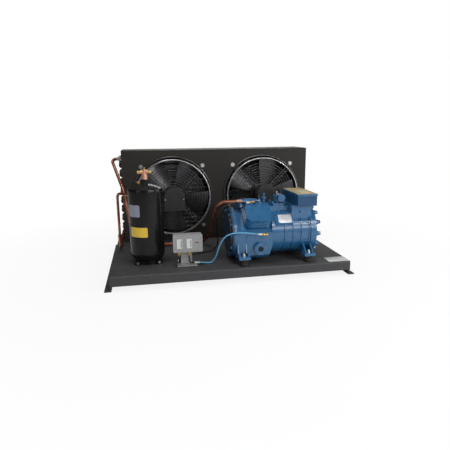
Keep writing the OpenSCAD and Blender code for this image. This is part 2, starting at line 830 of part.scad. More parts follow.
valve_z = rec_z + rec_h + neck_h;
module receiver_valve() {
    arm_z = valve_z + valve_h * arm_z_share;
    color([0.80, 0.50, 0.40]) translate([rec_x, rec_y, 0]) difference() {
        union() {
            translate([0, 0, valve_z]) cylinder(r = valve_r, h = valve_h * body_share);
            translate([0, 0, valve_z]) cylinder(r = valve_r * stalk_share, h = valve_h);
            translate([-valve_arm * arm_body_share, 0, arm_z]) lay_x()
                cylinder(r = valve_r * arm_r_share, h = 2 * valve_arm * arm_body_share);
            for (s = [-1, 1]) translate([s * valve_arm * arm_body_share, 0, arm_z])
                rotate([0, s * 90, 0]) {
                    cylinder(r = arm_r, h = valve_arm * arm_end_share + tip_l);
                    translate([0, 0, valve_arm * arm_nut_share])
                        hex(2 * arm_r + arm_nut_lip, 2 * valve_arm * arm_nut_share);
                }
        }
        translate([0, 0, valve_z + stem_seat]) cylinder(r = stem_r + run_gap, h = valve_h);
    }
}
// Square end of a valve spindle
module square_end() {
    translate([-stem_r * square_share, -stem_r * square_share, 0])
        cube([2 * stem_r * square_share, 2 * stem_r * square_share, square_h]);
}
module receiver_spindle() {
    color(brass) translate([rec_x, rec_y, valve_z + stem_seat + seat_gap]) {
        cylinder(r = stem_r, h = valve_h - stem_seat / 2);
        translate([0, 0, valve_h - stem_seat / 2]) square_end();
    }
}
module fusible_plug() {
    color(brass) translate([rec_x + plug_x, rec_y, rec_z + rec_h]) {
        cylinder(r = plug_neck_r, h = plug_neck_h + cut);
        translate([0, 0, plug_neck_h]) hex(plug_flat, plug_h);
    }
}

/* Dual pressure switch */
switch_low = deck_z + switch_z;
switch_cover_d = 14;
window_w = 25;
window_h = 44;
window_x = [-37.5, 6];
window_t = 2;
window_rim = 2;
slot_w = 3.5;
post_y = switch_y + switch_d + seat_gap;
foot_w = 90;
foot_d = 46;
port_x = [-39, 6];
port_y_share = 0.52;
port_y = switch_y + switch_d * port_y_share;
port_r = 3;
nut_flat = 15;
nut_h = 13;
elbow_r = 3.2;
elbow_bend = 14;
collar_r = 4.6;
collar_l = 24;
hose_r = 3.2;
hose_z = deck_z + collar_r + seat_gap;
case_inset = 3;
port_drop = 5;
port_sink = 3;
port_bore_d = 12;
post_shift = 4;
post_flange = 9;
post_flange_gap = 8;
post_top_share = 0.7;
foot_hole_in = 9;
foot_hole_r = 3.2;
tail_rise = 5;
tail_l = 24;
slot_share = 0.7;
slot_h_share = 0.75;

module switch_body(y, d, w, h) {
    translate([switch_x, y + d, switch_low + switch_h / 2]) rotate([90, 0, 0])
        linear_extrude(d) round_rect(w, h, switch_r);
}
module switch_case() {
    y0 = switch_y + switch_cover_d + seat_gap;
    d = switch_d - switch_cover_d - seat_gap;
    color([0.74, 0.74, 0.76]) difference() {
        union() {
            switch_body(y0, d, switch_w - case_inset, switch_h - case_inset);
            for (x = port_x) translate([switch_x + x, port_y, switch_low - port_drop])
                cylinder(r = nut_flat / 2, h = port_drop + port_sink);
        }
        for (x = port_x) translate([switch_x + x, port_y, switch_low - port_drop - cut])
            cylinder(r = port_r, h = port_drop + port_bore_d + cut);
    }
}
module switch_cover() {
    color([0.80, 0.80, 0.81]) difference() {
        switch_body(switch_y, switch_cover_d, switch_w, switch_h);
        for (x = window_x) translate([switch_x + x - window_w / 2, switch_y - cut,
                switch_low + (switch_h - window_h) / 2])
            cube([window_w, window_t + cut, window_h]);
    }
}
module switch_windows() {
    color([0.88, 0.88, 0.88]) for (x = window_x) translate([switch_x + x - window_w / 2 +
            slip_gap, switch_y - window_rim / 2, switch_low + (switch_h - window_h) / 2 + slip_gap])
        difference() {
            cube([window_w - 2 * slip_gap, window_t + window_rim / 2, window_h - 2 * slip_gap]);
            translate([window_w * slot_share, -cut, window_h * (1 - slot_h_share) / 2])
                cube([slot_w, window_t + cut, window_h * slot_h_share]);
        }
}
module switch_bracket() {
    top = switch_low + switch_h * post_top_share;
    x0 = switch_x - post_w / 2 - post_shift;
    color(zinc) difference() {
        union() {
            block([x0, post_y, deck_z], [post_w, bracket_t, top - deck_z]);
            for (s = [0, 1]) block([x0 + s * (post_w - bracket_t), post_y - post_flange, deck_z],
                [bracket_t, post_flange, switch_z - post_flange_gap]);
            block([x0 - (foot_w - post_w) / 2, post_y - foot_d + bracket_t, deck_z],
                [foot_w, foot_d, bracket_t]);
        }
        for (s = [-1, 1]) translate([x0 + post_w / 2 + s * (foot_w / 2 - foot_hole_in),
                post_y - foot_d / 2, deck_z - cut])
            cylinder(r = foot_hole_r, h = bracket_t + 2 * cut);
    }
}
// Flare nut and bent tail that lead each port to its hose
port_z = switch_low - port_drop;
tail_z = port_z - nut_h;
tail_low = hose_z + tail_rise;
tail_right = [[switch_x + port_x[1], port_y, tail_z], [switch_x + port_x[1], port_y, tail_low],
    [switch_x + port_x[1] + tail_l, port_y, tail_low]];
tail_left = [[switch_x + port_x[0], port_y, tail_z], [switch_x + port_x[0], port_y, tail_low],
    [switch_x + port_x[0], port_y + tail_l, tail_low]];
module switch_fittings() {
    for (x = port_x) color(brass) translate([switch_x + x, port_y, tail_z])
        hex(nut_flat, nut_h - slip_gap);
    color(black_steel) {
        pipe_run(tail_right, elbow_r, [elbow_bend]);
        pipe_run(tail_left, elbow_r, [elbow_bend]);
    }
    color([0.85, 0.85, 0.85]) {
        bar(tail_right[2], tail_right[2] + [collar_l, 0, 0], collar_r);
        bar(tail_left[2], tail_left[2] + [0, collar_l, 0], collar_r);
    }
}

/* Compressor */
bank_step = 16;
head_corner_r = 14;
mount_bolt_r = 5;
foot_z = mount_h;
foot_t2 = 12;
foot_w2 = 52;
mount_places = [for (i = [0, 1], s = [-1, 1])
    [comp_x + foot_start + i * foot_x, comp_y + s * foot_y / 2]];
barrel_x = comp_x + crank_l;
barrel_end = barrel_x + barrel_l;
valley_z = 95;
chamber_r = 74;
wall_x = 22;
crank_cover_d = 15;
cover_t = 8;
cover_edge = 5;
crank_cover_r = 97;
bank_shift = 5;
neck_w = 96;
neck_d = 172;
term_low = 128;
rib_at = [59, 99, 139, 178];
rib_angles = [-8, -28, 20, 200, 188, 160];
pad_w = 92;
pad_d = 86;
pad_top = 122;
suction_x = 230;
gear_z = 143;
foot_web_t = 7;
foot_in = 30;
foot_web_share = 0.3;
crank_foot_w = 40;
crank_foot_top = 60;
barrel_foot_w = 34;
barrel_foot_top = 34;
bank_skirt = 30;
bank_neck_w = 8;
bank_neck_d = 6;
bank_rim = 4;
bank_rim_t = 8;
flange_lip = 2;
sight_boss = 3;
sight_boss_out = 4;
sight_boss_d = 24;
gear_post_r = 26;
valley_sink = 5;
lp_r = 5;
lp_d = 13;
bolt_lip = 4;
end_bolt_r = 4;
end_bolt_l = 18;
end_head_r = 6;
crank_hub_r = 30;
crank_hub_l = 26;
plug_x2 = 65;
plug_z2 = -7;
plug_r2 = 9;
plug_out = 4;
front_rib_x = [16, 54];
front_rib_w = 5;
front_rib_out = 12;
front_rib_low = -75;
front_rib_high = -34;
corner_cut = 19;
corner_rise = 62;
plate_tilt = 36;
plate_w = 84;
plate_d = 52;
plate_out = 3;
neck_in = 6;
neck_low = 52;
neck_hole_r = 6;
neck_hole_d = 6;
neck_hole_x = 314;
neck_hole_z = 99;
pad_sink = 20;
suction_bore_r = 14;
rib_depth = 8;
bell_step = 8;
bell_in = 26;
cover_boss_r = 11;
cover_boss_l = 12;
cover_boss_sink = 2;
cover_turn_share = 0.1;
spigot_l = 8;
spigot_wall = 10;
bearing_wall = 12;
bearing_l = 12;
bolt_washer_r = 8.5;
bolt_washer_t = 2;
bolt_flat = 15;
bolt_h = 11;

module at_axis(x) {
    translate([x, comp_y, axis_h]) children();
}
// Cross-section of the crankcase, looking along +X: v is Y and w is Z
module crank_section(half, floor, face, top) {
    k = face * sqrt(2);
    polygon([[-half + crank_cut, -floor], [half - crank_cut, -floor], [half, -floor + crank_cut],
        [half, k - half], [k - top, top], [top - k, top], [-half, k - half],
        [-half, -floor + crank_cut]]);
}
// Head outline: small upper corners, wide lower ones. u runs along X, v away from the ridge
module head_outline(w, d) {
    low_r = 2 * head_corner_r;
    square([w, d - 2 * low_r], center = true);
    translate([-w / 2 + low_r, -d / 2]) square([w - 2 * low_r, d / 2]);
    translate([-w / 2 + head_corner_r, 0]) square([w - 2 * head_corner_r, d / 2]);
    translate([-w / 2, 0]) square([w, d / 2 - head_corner_r]);
    for (s = [-1, 1]) {
        translate([s * (w / 2 - head_corner_r), d / 2 - head_corner_r]) circle(head_corner_r);
        translate([s * (w / 2 - low_r), -d / 2 + low_r]) circle(low_r);
    }
}
// Places a thing on a bank: z is the distance from the shaft axis, +Y is uphill
module on_bank(side, reach) {
    at_axis(comp_x + bank_x) mirror([0, side > 0 ? 1 : 0, 0]) rotate([bank_angle, 0, 0])
        translate([0, bank_shift, reach]) children();
}
module foot_web(x, y0, y1, top, width) {
    translate([x - width / 2, 0, 0]) rotate([90, 0, 90]) linear_extrude(width)
        polygon([[y0, deck_z + foot_z], [y1, deck_z + foot_z], [y1, top], [y0, deck_z + foot_z +
            foot_t2]]);
}
module foot(x, side, width, top) {
    edge = side * (foot_y / 2 + foot_w2 / 2);
    inner = side * (crank_half_w - foot_in);
    y0 = comp_y + min(edge, inner);
    difference() {
        union() {
            block([x - foot_w2 / 2, y0, deck_z + foot_z], [foot_w2, abs(edge - inner), foot_t2]);
            for (s = [-1, 1]) translate([s * (width / 2), 0, 0])
                foot_web(x, comp_y + side * (foot_y / 2 + foot_w2 * foot_web_share),
                    comp_y + inner, top, foot_web_t);
        }
        translate([x, comp_y + side * foot_y / 2, deck_z + foot_z - cut])
            cylinder(r = mount_bolt_r + seat_gap, h = foot_t2 + 2 * cut);
    }
}

sight_x = 119;
sight_z = -58;
sight_r = 29;
sight_t = 12;
lp_x = 147;
lp_z = 8;
module crankcase() {
    x1 = comp_x + crank_l;
    color(comp_paint) difference() {
        union() {
            at_axis(comp_x) lay_x() cylinder(r = flange_r + flange_lip, h = flange_t, $fn = 96);
            at_axis(comp_x + flange_t) rotate([90, 0, 90])
                linear_extrude(crank_l - flange_t)
                crank_section(crank_half_w, crank_floor, bank_face, valley_z);
            for (side = [-1, 1]) on_bank(side, bank_face - bank_skirt)
                linear_extrude(bank_skirt + bank_step)
                head_outline(head_w - bank_neck_w, head_d - bank_neck_d);
            for (side = [-1, 1]) on_bank(side, bank_face + bank_step - bank_rim_t)
                linear_extrude(bank_rim_t) head_outline(head_w + bank_rim, head_d + bank_rim);
            for (side = [-1, 1]) foot(comp_x + foot_start, side, crank_foot_w,
                axis_h - crank_floor + crank_foot_top);
            at_axis(comp_x + sight_x) translate([0, -crank_half_w - sight_boss_out, sight_z])
                lay_y() cylinder(r = sight_r + sight_boss, h = sight_boss_d);
            at_axis(comp_x + plug_x2) translate([0, -crank_half_w - plug_out, plug_z2]) lay_y()
                hex(2 * plug_r2, plug_out + cut);
            for (x = front_rib_x) at_axis(comp_x + x - front_rib_w / 2) rotate([90, 0, 90])
                linear_extrude(front_rib_w) polygon([[-crank_half_w + cut, front_rib_low],
                    [-crank_half_w - front_rib_out, front_rib_low],
                    [-crank_half_w + cut, front_rib_high]]);
            at_axis(comp_x + dis_x) translate([0, 0, valley_z - valley_sink])
                cylinder(r = gear_post_r, h = gear_z - dis_base - valley_z + valley_sink);
        }
        at_axis(comp_x + crank_l) rotate([90, 0, 0]) translate([0, 0, -2 * crank_half_w])
            linear_extrude(4 * crank_half_w) polygon([[-corner_cut, -crank_floor - cut],
                [cut, -crank_floor - cut], [cut, -crank_floor + corner_rise]]);
        at_axis(comp_x - cut) lay_x() cylinder(r = chamber_r, h = crank_l - wall_x + cut);
        at_axis(comp_x) lay_x() cylinder(r = shaft_r + run_gap, h = crank_l + cut);
        at_axis(comp_x + lp_x) translate([0, -crank_half_w - cut, lp_z]) lay_y()
            cylinder(r = lp_r + slip_gap, h = lp_d + cut);
        for (i = [0 : cover_bolts - 1]) at_axis(comp_x - cut) rotate([i * 360 / cover_bolts, 0, 0])
            translate([0, 0, cover_bolt_r + bolt_lip]) lay_x()
            cylinder(r = end_bolt_r + slip_gap, h = flange_t);
    }
}

module crank_end_cover() {
    color([0.13, 0.19, 0.26]) at_axis(comp_x) difference() {
        union() {
            rotate([0, -90, 0]) rotate_extrude($fn = 96) {
                square([flange_r + flange_lip, cover_t]);
                square([crank_cover_r - cover_edge, crank_cover_d]);
                square([crank_cover_r, crank_cover_d - cover_edge]);
                translate([crank_cover_r - cover_edge, crank_cover_d - cover_edge])
                    circle(cover_edge);
            }
            lay_x() cylinder(r = chamber_r - slip_gap, h = spigot_l);
            lay_x() cylinder(r = crank_hub_r, h = crank_hub_l);
        }
        translate([-crank_cover_d + cover_edge, 0, 0]) lay_x()
            cylinder(r = shaft_r + run_gap, h = crank_cover_d + crank_hub_l);
        for (i = [0 : cover_bolts - 1]) rotate([i * 360 / cover_bolts, 0, 0])
            translate([-cover_t - cut, 0, cover_bolt_r + bolt_lip]) lay_x()
            cylinder(r = end_bolt_r + slip_gap, h = cover_t + 2 * cut);
    }
}

module motor_barrel() {
    color(comp_paint) difference() {
        union() {
            at_axis(barrel_x) lay_x() cylinder(r = barrel_r, h = barrel_l, $fn = 96);
            for (x = rib_at) at_axis(barrel_x + x) lay_x()
                cylinder(r = barrel_r + rib_h, h = rib_w, $fn = 96);
            at_axis(barrel_end - flange_t) lay_x() cylinder(r = flange_r, h = flange_t, $fn = 96);
            for (a = rib_angles) at_axis(barrel_x + rib_at[0]) rotate([a, 0, 0])
                translate([0, -barrel_r - rib_h, -rib_w / 2])
                cube([barrel_l - rib_at[0] - flange_t / 2, rib_h + rib_depth, rib_w]);
            block([barrel_end - neck_w - neck_in, comp_y - neck_d / 2, axis_h + neck_low],
                [neck_w, neck_d, term_low - neck_low - seat_gap]);
            block([comp_x + suction_x - pad_w / 2, comp_y - pad_d / 2,
                axis_h + barrel_r - pad_sink], [pad_w, pad_d, pad_top - barrel_r + pad_sink]);
            at_axis(barrel_x + rib_at[0]) rotate([-plate_tilt, 0, 0])
                translate([0, -barrel_r - plate_out, 0]) rotate([-90, 0, 0])
                linear_extrude(barrel_r / 2) round_rect(plate_w, plate_d, rib_w);
            for (side = [-1, 1]) foot(comp_x + foot_start + foot_x, side, barrel_foot_w,
                axis_h - barrel_foot_top);
        }
        at_axis(comp_x + neck_hole_x) translate([0, -neck_d / 2 - cut, neck_hole_z]) lay_y()
            cylinder(r = neck_hole_r, h = neck_hole_d + cut);
        at_axis(barrel_x - cut) lay_x()
            cylinder(r = barrel_bore_r, h = barrel_l + 2 * cut, $fn = 96);
        at_axis(comp_x + suction_x) translate([0, 0, barrel_bore_r - spigot_l])
            cylinder(r = suction_bore_r, h = pad_top);
    }
}

bell_d = 27;
module motor_end_cover() {
    color(comp_paint) at_axis(barrel_end) difference() {
        union() {
            lay_x() rotate_extrude($fn = 96) {
                square([flange_r, flange_t]);
                square([flange_r - bell_in, bell_d - bell_step]);
                square([flange_r - bell_in - bell_step, bell_d]);
                translate([flange_r - bell_in - bell_step, bell_d - bell_step]) circle(bell_step);
            }
            for (i = [0 : cover_bolts - 1]) rotate([(i + cover_turn_share) * 360 / cover_bolts, 0, 0])
                translate([flange_t - cover_boss_sink, 0, cover_bolt_r]) lay_x()
                cylinder(r = cover_boss_r, h = cover_boss_l);
            translate([-spigot_l, 0, 0]) lay_x()
                cylinder(r = barrel_bore_r - slip_gap, h = spigot_l + cut, $fn = 96);
        }
        translate([-spigot_l - cut, 0, 0]) lay_x()
            cylinder(r = shaft_r + run_gap, h = bearing_l + 2 * cut);
        translate([-spigot_l - cut, 0, 0]) lay_x() difference() {
            cylinder(r = barrel_bore_r - spigot_wall, h = spigot_l + cut);
            translate([0, 0, -cut]) cylinder(r = shaft_r + bearing_wall, h = bearing_l);
        }
    }
}
module end_cover_bolts() {
    color(comp_paint) {
        for (i = [0 : cover_bolts - 1]) at_axis(barrel_end + flange_t - cover_boss_sink + cover_boss_l)
            rotate([(i + cover_turn_share) * 360 / cover_bolts, 0, 0])
            translate([0, 0, cover_bolt_r]) lay_x() {
                cylinder(r = bolt_washer_r, h = bolt_washer_t);
                hex(bolt_flat, bolt_h);
            }
        for (i = [0 : cover_bolts - 1]) at_axis(comp_x - cover_t)
            rotate([i * 360 / cover_bolts, 0, 0]) translate([0, 0, cover_bolt_r + bolt_lip]) {
                rotate([0, -90, 0]) bolt_head(end_head_r);
                lay_x() cylinder(r = end_bolt_r, h = end_bolt_l);
            }
    }
}

module valve_plate(side) {
    on_bank(side, bank_face + bank_step) linear_extrude(plate_t) head_outline(head_w, head_d);
}
module front_valve_plate() {
    color([0.16, 0.30, 0.45]) valve_plate(-1);
}
module rear_valve_plate() {
    color([0.16, 0.30, 0.45]) valve_plate(1);
}
head_low = bank_face + bank_step + plate_t;
head_bolt_gap = 24;
head_bolt_u = [for (i = [-2 : 2]) i * head_bolt_gap];
head_rim_t = 12;
head_in_w = 6;
head_in_d = 10;
head_shift = 3;
head_bolt_in = 6;
head_bolt_drop = 8;
head_boss_r = 7;
head_pocket_r = 8.5;
head_bolt_r = 6;
module cylinder_head(side) {
    on_bank(side, head_low) {
        difference() {
            union() {
                linear_extrude(head_rim_t) head_outline(head_w, head_d);
                translate([0, -head_shift, 0]) linear_extrude(head_t)
                    head_outline(head_w - head_in_w, head_d - head_in_d);
            }
            for (u = head_bolt_u) translate([u, head_d / 2 - head_bolt_in, head_t - head_bolt_drop])
                cylinder(r = head_pocket_r, h = head_t);
        }
        for (u = head_bolt_u) translate([u, head_d / 2 - head_bolt_in, 0])
            cylinder(r = head_boss_r, h = head_t - head_bolt_drop);
    }
}
module front_cylinder_head() {
    color(comp_paint) cylinder_head(-1);
}
module rear_cylinder_head() {
    color(comp_paint) cylinder_head(1);
}
module head_bolts() {
    color(comp_paint) for (side = [-1, 1], u = head_bolt_u)
        on_bank(side, head_low + head_t - head_bolt_drop)
        translate([u, head_d / 2 - head_bolt_in, 0]) bolt_head(head_bolt_r);
}

// Crankshaft with two opposed throws and the motor's rotor
throw_at = [70, 118];
throw_w = 26;
rotor_r = 52;
rotor_x = 222;
rotor_l = 120;
stator_gap = 0.8;
stator_over = 10;
module crankshaft() {
    color([0.60, 0.60, 0.62]) at_axis(comp_x) {
        translate([-crank_cover_d + cover_edge + seat_gap, 0, 0]) lay_x()
            cylinder(r = shaft_r, h = crank_cover_d - cover_edge + crank_l + barrel_l + stator_gap);
        for (i = [0, 1]) translate([throw_at[i], 0, (i == 0 ? 1 : -1) * throw_offset]) lay_x()
            cylinder(r = throw_r, h = throw_w);
        translate([rotor_x, 0, 0]) lay_x() cylinder(r = rotor_r, h = rotor_l);
    }
}
module motor_stator() {
    color([0.55, 0.35, 0.25]) at_axis(comp_x + rotor_x - stator_over) lay_x() difference() {
        cylinder(r = barrel_bore_r - slip_gap, h = rotor_l + 2 * stator_over, $fn = 96);
        translate([0, 0, -cut])
            cylinder(r = rotor_r + stator_gap, h = rotor_l + 2 * (stator_over + cut));
    }
}

term_wall = 3;
term_at = 343;
term_x = comp_x + term_at;
lid_over = 2;
gland_r = 11;
gland_l = 12;
gland_nut = 26;
gland_nut_l = 7;
module terminal_box() {
    z0 = axis_h + term_low;
    color(comp_paint) gland();
    color(comp_paint) difference() {
        block([term_x - term_w / 2, comp_y - term_d / 2, z0], [term_w, term_d, term_h]);
        block([term_x - term_w / 2 + term_wall, comp_y - term_d / 2 + term_wall, z0 + term_wall],
            [term_w - 2 * term_wall, term_d - 2 * term_wall, term_h]);
    }
}
// Cable gland on the box's far end, closed by its own cap
module gland() {
    translate([term_x, comp_y + term_d / 2 - term_wall / 2, axis_h + term_low + term_h / 2]) lay_y() {
        cylinder(r = gland_r, h = gland_l);
        translate([0, 0, term_wall / 2 + seat_gap]) hex(gland_nut, gland_nut_l);
    }
}
module terminal_box_lid() {
    z0 = axis_h + term_low + term_h;
    color(comp_paint) difference() {
        block([term_x - term_w / 2 - lid_over, comp_y - term_d / 2 - lid_over, z0 - lid_t / 2],
            [term_w + 2 * lid_over, term_d + 2 * lid_over, lid_t]);
        block([term_x - term_w / 2 - seat_gap, comp_y - term_d / 2 - seat_gap, z0 - lid_t],
            [term_w + 2 * seat_gap, term_d + 2 * seat_gap, lid_t]);
    }
}

suction_flange_t = 11;
suction_r = 18;
port_out = 48;
port_shift = 8;
port_body_r = 16;
port_cap_r = 17.5;
port_cap_l = 12;
port_cap_out = 6;
suction_body_h = 46;
suction_lift = 38;
suction_flange_w = 72;
suction_flange_r = 14;
suction_bolt_at = 27;
suction_bolt_flat = 13;
suction_bolt_h = 8;
suction_neck_r = 8;
suction_neck_gap = 14;
suction_seat = 20;
suction_axis = pad_top + suction_lift;
suction_top = 185;
spindle_out = 5;
module suction_valve() {
    color(comp_paint) at_axis(comp_x + suction_x) difference() {
        union() {
            translate([0, 0, pad_top]) linear_extrude(suction_flange_t)
                round_rect(suction_flange_w, suction_flange_w, suction_flange_r);
            translate([0, 0, pad_top]) cylinder(r = suction_r, h = suction_body_h);
            translate([port_shift, -port_out, suction_axis]) lay_y()
                cylinder(r = port_body_r, h = port_out);
            translate([port_shift, -port_out - port_cap_out, suction_axis]) lay_y()
                cylinder(r = port_cap_r, h = port_cap_l);
            translate([0, 0, pad_top + suction_body_h - cut]) cylinder(r = suction_neck_r,
                h = suction_top - pad_top - suction_body_h - suction_neck_gap + cut);
            for (sx = [-1, 1], sy = [-1, 1]) translate([sx * suction_bolt_at,
                    sy * suction_bolt_at, pad_top + suction_flange_t - cut])
                hex(suction_bolt_flat, suction_bolt_h + cut);
        }
        translate([0, 0, pad_top + suction_seat]) cylinder(r = stem_r + run_gap, h = suction_top);
    }
}
module suction_spindle() {
    color([0.55, 0.57, 0.60]) at_axis(comp_x + suction_x) {
        translate([0, 0, pad_top + suction_seat + seat_gap])
            cylinder(r = stem_r, h = suction_top - pad_top - suction_seat - spindle_out + cut);
        translate([0, 0, suction_top - spindle_out]) square_end();
    }
}

dis_x = 100;
dis_len = 60;
dis_y = 0;
dis_base = 24;
gauge_out = 19;
gauge_r = 6.5;
gauge_x = 8;
dis_flange_t = 10;
dis_flange_w = 64;
dis_flange_d = 50;
dis_body_r = 16;
dis_body_up = 4;
dis_r = 12;
dis_share = 0.66;
dis_neck_r = 7;
dis_neck_l = 18;
dis_bolt_x = 24;
dis_bolt_y = 18;
dis_bolt_flat = 12;
dis_bolt_h = 6;
dis_seat = 10;
dis_socket = 42;
dis_stem_l = 52;
module discharge_valve() {
    color(comp_paint) at_axis(comp_x + dis_x) difference() {
        union() {
            translate([0, dis_y, gear_z - dis_base]) linear_extrude(dis_flange_t)
                round_rect(dis_flange_w, dis_flange_d, dis_flange_t);
            translate([gauge_x, dis_y, gear_z - dis_base])
                cylinder(r = dis_body_r, h = dis_base + dis_body_up);
            translate([gauge_x, dis_y - gauge_out, gear_z]) lay_y()
                cylinder(r = gauge_r, h = gauge_out);
            translate([-dis_len * dis_share, dis_y, gear_z]) lay_x()
                cylinder(r = dis_r, h = dis_len);
            translate([dis_len * (1 - dis_share) - cut, dis_y, gear_z]) lay_x()
                cylinder(r = dis_neck_r, h = dis_neck_l + cut);
            for (sx = [-1, 1], sy = [-1, 1]) translate([sx * dis_bolt_x, dis_y + sy * dis_bolt_y,
                    gear_z - dis_base + dis_flange_t - cut])
                hex(dis_bolt_flat, dis_bolt_h + cut);
        }
        translate([-dis_seat, dis_y, gear_z]) lay_x()
            cylinder(r = stem_r + run_gap, h = 2 * dis_len);
        translate([-dis_len, dis_y, gear_z]) lay_x()
            cylinder(r = pipe_r + slip_gap, h = dis_socket);
    }
}
module discharge_spindle() {
    color([0.55, 0.57, 0.60]) at_axis(comp_x + dis_x) {
        translate([-dis_seat + seat_gap, dis_y, gear_z]) lay_x() {
            cylinder(r = stem_r, h = dis_stem_l);
            translate([0, 0, dis_stem_l - cut]) square_end();
        }
    }
}

glass_r = 12;
glass_d = 8;
module sight_glass() {
    color(comp_paint) at_axis(comp_x + sight_x)
        translate([0, -crank_half_w - sight_boss_out - sight_t, sight_z]) lay_y() difference() {
            cylinder(r = sight_r, h = sight_t - seat_gap);
            translate([0, 0, -cut]) cylinder(r = glass_r, h = glass_d + cut);
        }
}

eye_in = 13;
eye_neck_r = 5;
eye_post_r = 8;
eye_post_h = 58;
eye_collar_r = 12;
eye_collar_h = 8;
eye_cap_r = 6;
eye_cap_h = 12;
eye_top = 84;
module lifting_eye() {
    color(comp_paint) translate([comp_x + crank_l - eye_in, comp_y, axis_h + valley_z])
        rotate_extrude() {
            square([eye_neck_r, eye_top - cut]);
            square([eye_post_r, eye_post_h]);
            translate([0, eye_post_h]) square([eye_collar_r, eye_collar_h]);
            translate([0, eye_top - eye_cap_h]) square([eye_cap_r, eye_cap_h]);
        }
}

mount_waist = 17;
mount_neck = 3;
stud_out = 8;
stud_top = 14;
stud_washer_r = 11;
stud_washer_t = 2;
stud_flat = 17;
stud_nut_h = 8;
low_nut_h = 7;
module rubber_mounts() {
    color([0.07, 0.07, 0.07]) for (p = mount_places) translate([p.x, p.y, deck_z])
        rotate_extrude() difference() {
            translate([mount_bolt_r + seat_gap, 0])
                square([mount_r - mount_bolt_r - seat_gap, mount_h]);
            translate([mount_r + mount_waist - mount_neck, mount_h / 2]) circle(mount_waist);
        }
}
module mount_bolts() {
    top = foot_z + foot_t2;
    color(zinc) for (p = mount_places) translate([p.x, p.y, deck_z]) {
        translate([0, 0, -tray_t - stud_out])
            cylinder(r = mount_bolt_r, h = top + tray_t + stud_out + stud_top);
        translate([0, 0, top]) cylinder(r = stud_washer_r, h = stud_washer_t);
        translate([0, 0, top + stud_washer_t]) hex(stud_flat, stud_nut_h);
        translate([0, 0, -tray_t - low_nut_h]) hex(stud_flat, low_nut_h);
    }
}

/* Pipes and hoses */
pipe_r = 8;
liquid_r = 6.3;
liquid_bend = 24;
pipe_in = 40;
gas_reach = 28;
gas_end = [header_x - gas_stub, gas_front, gas_z];
discharge_start = [comp_x + dis_x - pipe_in, comp_y + dis_y, axis_h + gear_z];
drop_out = 52;
drop_lean = 16;
drop_y = 62;
drop_z = 65;
low_y = 192;
low_z = 73;
run_out = 90;
run_y = 280;
run_lift = 13;
turn_x = 80;
turn_y = 268;
rise_x = 69;
rise_y = 262;
rise_lift = 25;
slope_x = 23;
slope_y = 150;
slope_drop = 159.15;
discharge_route = [discharge_start,
    [comp_x - drop_out, discharge_start.y, discharge_start.z],
    [comp_x - drop_out - drop_lean, comp_y + drop_y, axis_h + drop_z],
    [comp_x - drop_out - drop_lean, comp_y + low_y, deck_z + low_z],
    [comp_x - run_out, comp_y + run_y, deck_z + run_lift],
    [rec_x + turn_x, comp_y + turn_y, deck_z + run_lift],
    [header_x + rise_x, comp_y + rise_y, deck_z + rise_lift],
    [header_x + slope_x, gas_front - slope_y, gas_z - slope_drop],
    gas_end - [gas_reach, 0, 0], gas_end];
pipe_bend = 38;
drop_bend = 50;
slope_bend = 60;
gas_bend = 20;
discharge_bends = [pipe_bend, drop_bend, pipe_bend, pipe_bend, pipe_bend, pipe_bend, slope_bend,
    gas_bend];
module discharge_pipe() {
    color(copper) {
        pipe_run(discharge_route, pipe_r, discharge_bends);
    }
}
liquid_port = [rec_x + (rec_r + inlet_out) * cos(inlet_angle),
    rec_y + (rec_r + inlet_out) * sin(inlet_angle), deck_z + rec_inlet_z];
liquid_corner = liquid_port + (header_x - liquid_port.x) / cos(inlet_angle)
    * [cos(inlet_angle), sin(inlet_angle), 0];
liquid_route = [liquid_port, liquid_corner, [header_x, liquid_corner.y, liquid_z],
    [header_x, gas_front, liquid_z]];
socket_r = 9;
socket_h = 44;
socket_gap = 4;
module liquid_pipe() {
    low = liquid_route[2] + [0, 0, liquid_bend + socket_gap];
    color(copper) {
        pipe_run(liquid_route, liquid_r, [liquid_bend, liquid_bend]);
        bar(low, low + [0, 0, socket_h], socket_r);
    }
}

lp_seat = [comp_x + lp_x, comp_y - crank_half_w, axis_h + lp_z];
hp_seat = [comp_x + dis_x + gauge_x, comp_y + dis_y - gauge_out, axis_h + gear_z];
end_r = 5.5;
end_over = 4;
lp_in = 12;
lp_out = 14;
hp_out = 12;
lp_run = 22;
lp_rise = 2;
hp_run = 16;
hp_dip = 1;
collar_run = 18;
lp_turn = lp_seat + [-lp_run, -lp_out, lp_rise];
hp_turn = hp_seat + [-hp_run, -hp_out, -hp_dip];
blue_start = tail_right[2] + [collar_l, 0, 0];
blue_end = lp_turn + [-collar_run, 0, lp_rise];
black_start = tail_left[2] + [0, collar_l, 0];
black_end = hp_turn + [-collar_run, 0, -hp_dip];
module hose_fittings() {
    color(brass) {
        bar(lp_seat + [0, lp_in, 0], lp_seat - [0, lp_out, 0], lp_r);
        bar(lp_seat + [end_over, -lp_out, 0], lp_turn, end_r);
        bar(hp_seat, hp_seat - [0, hp_out, 0], lp_r);
        bar(hp_seat + [end_over, -hp_out, 0], hp_turn, end_r);
    }
    color([0.85, 0.85, 0.85]) {
        bar(lp_turn, blue_end, collar_r);
        bar(hp_turn, black_end, collar_r);
    }
}
blue_route = [blue_start, [-132, -291, 75], [-110, -291, 72], [-90, -290, 76], [-74, -300, 104],
    [-64, -312, 142], [-51, -326, 180], [-28, -340, 208], [10, -347, 219], [60, -350, 217],
    blue_end];
black_route = [black_start, [-242, -225, 73], [-236, -200, 72], [-220, -176, 72],
    [-190, -152, 72], [-150, -134, 72], [-110, -118, 72], [-70, -100, 74], [-38, -92, 92],
    [-32, -104, 130], [-42, -140, 176], [-52, -185, 222], [-54, -222, 266], [-42, -238, 302],
    [-14, -241, 326], [30, -238, 337], black_end];
hose_steps = 3;
hose_sides = 8;
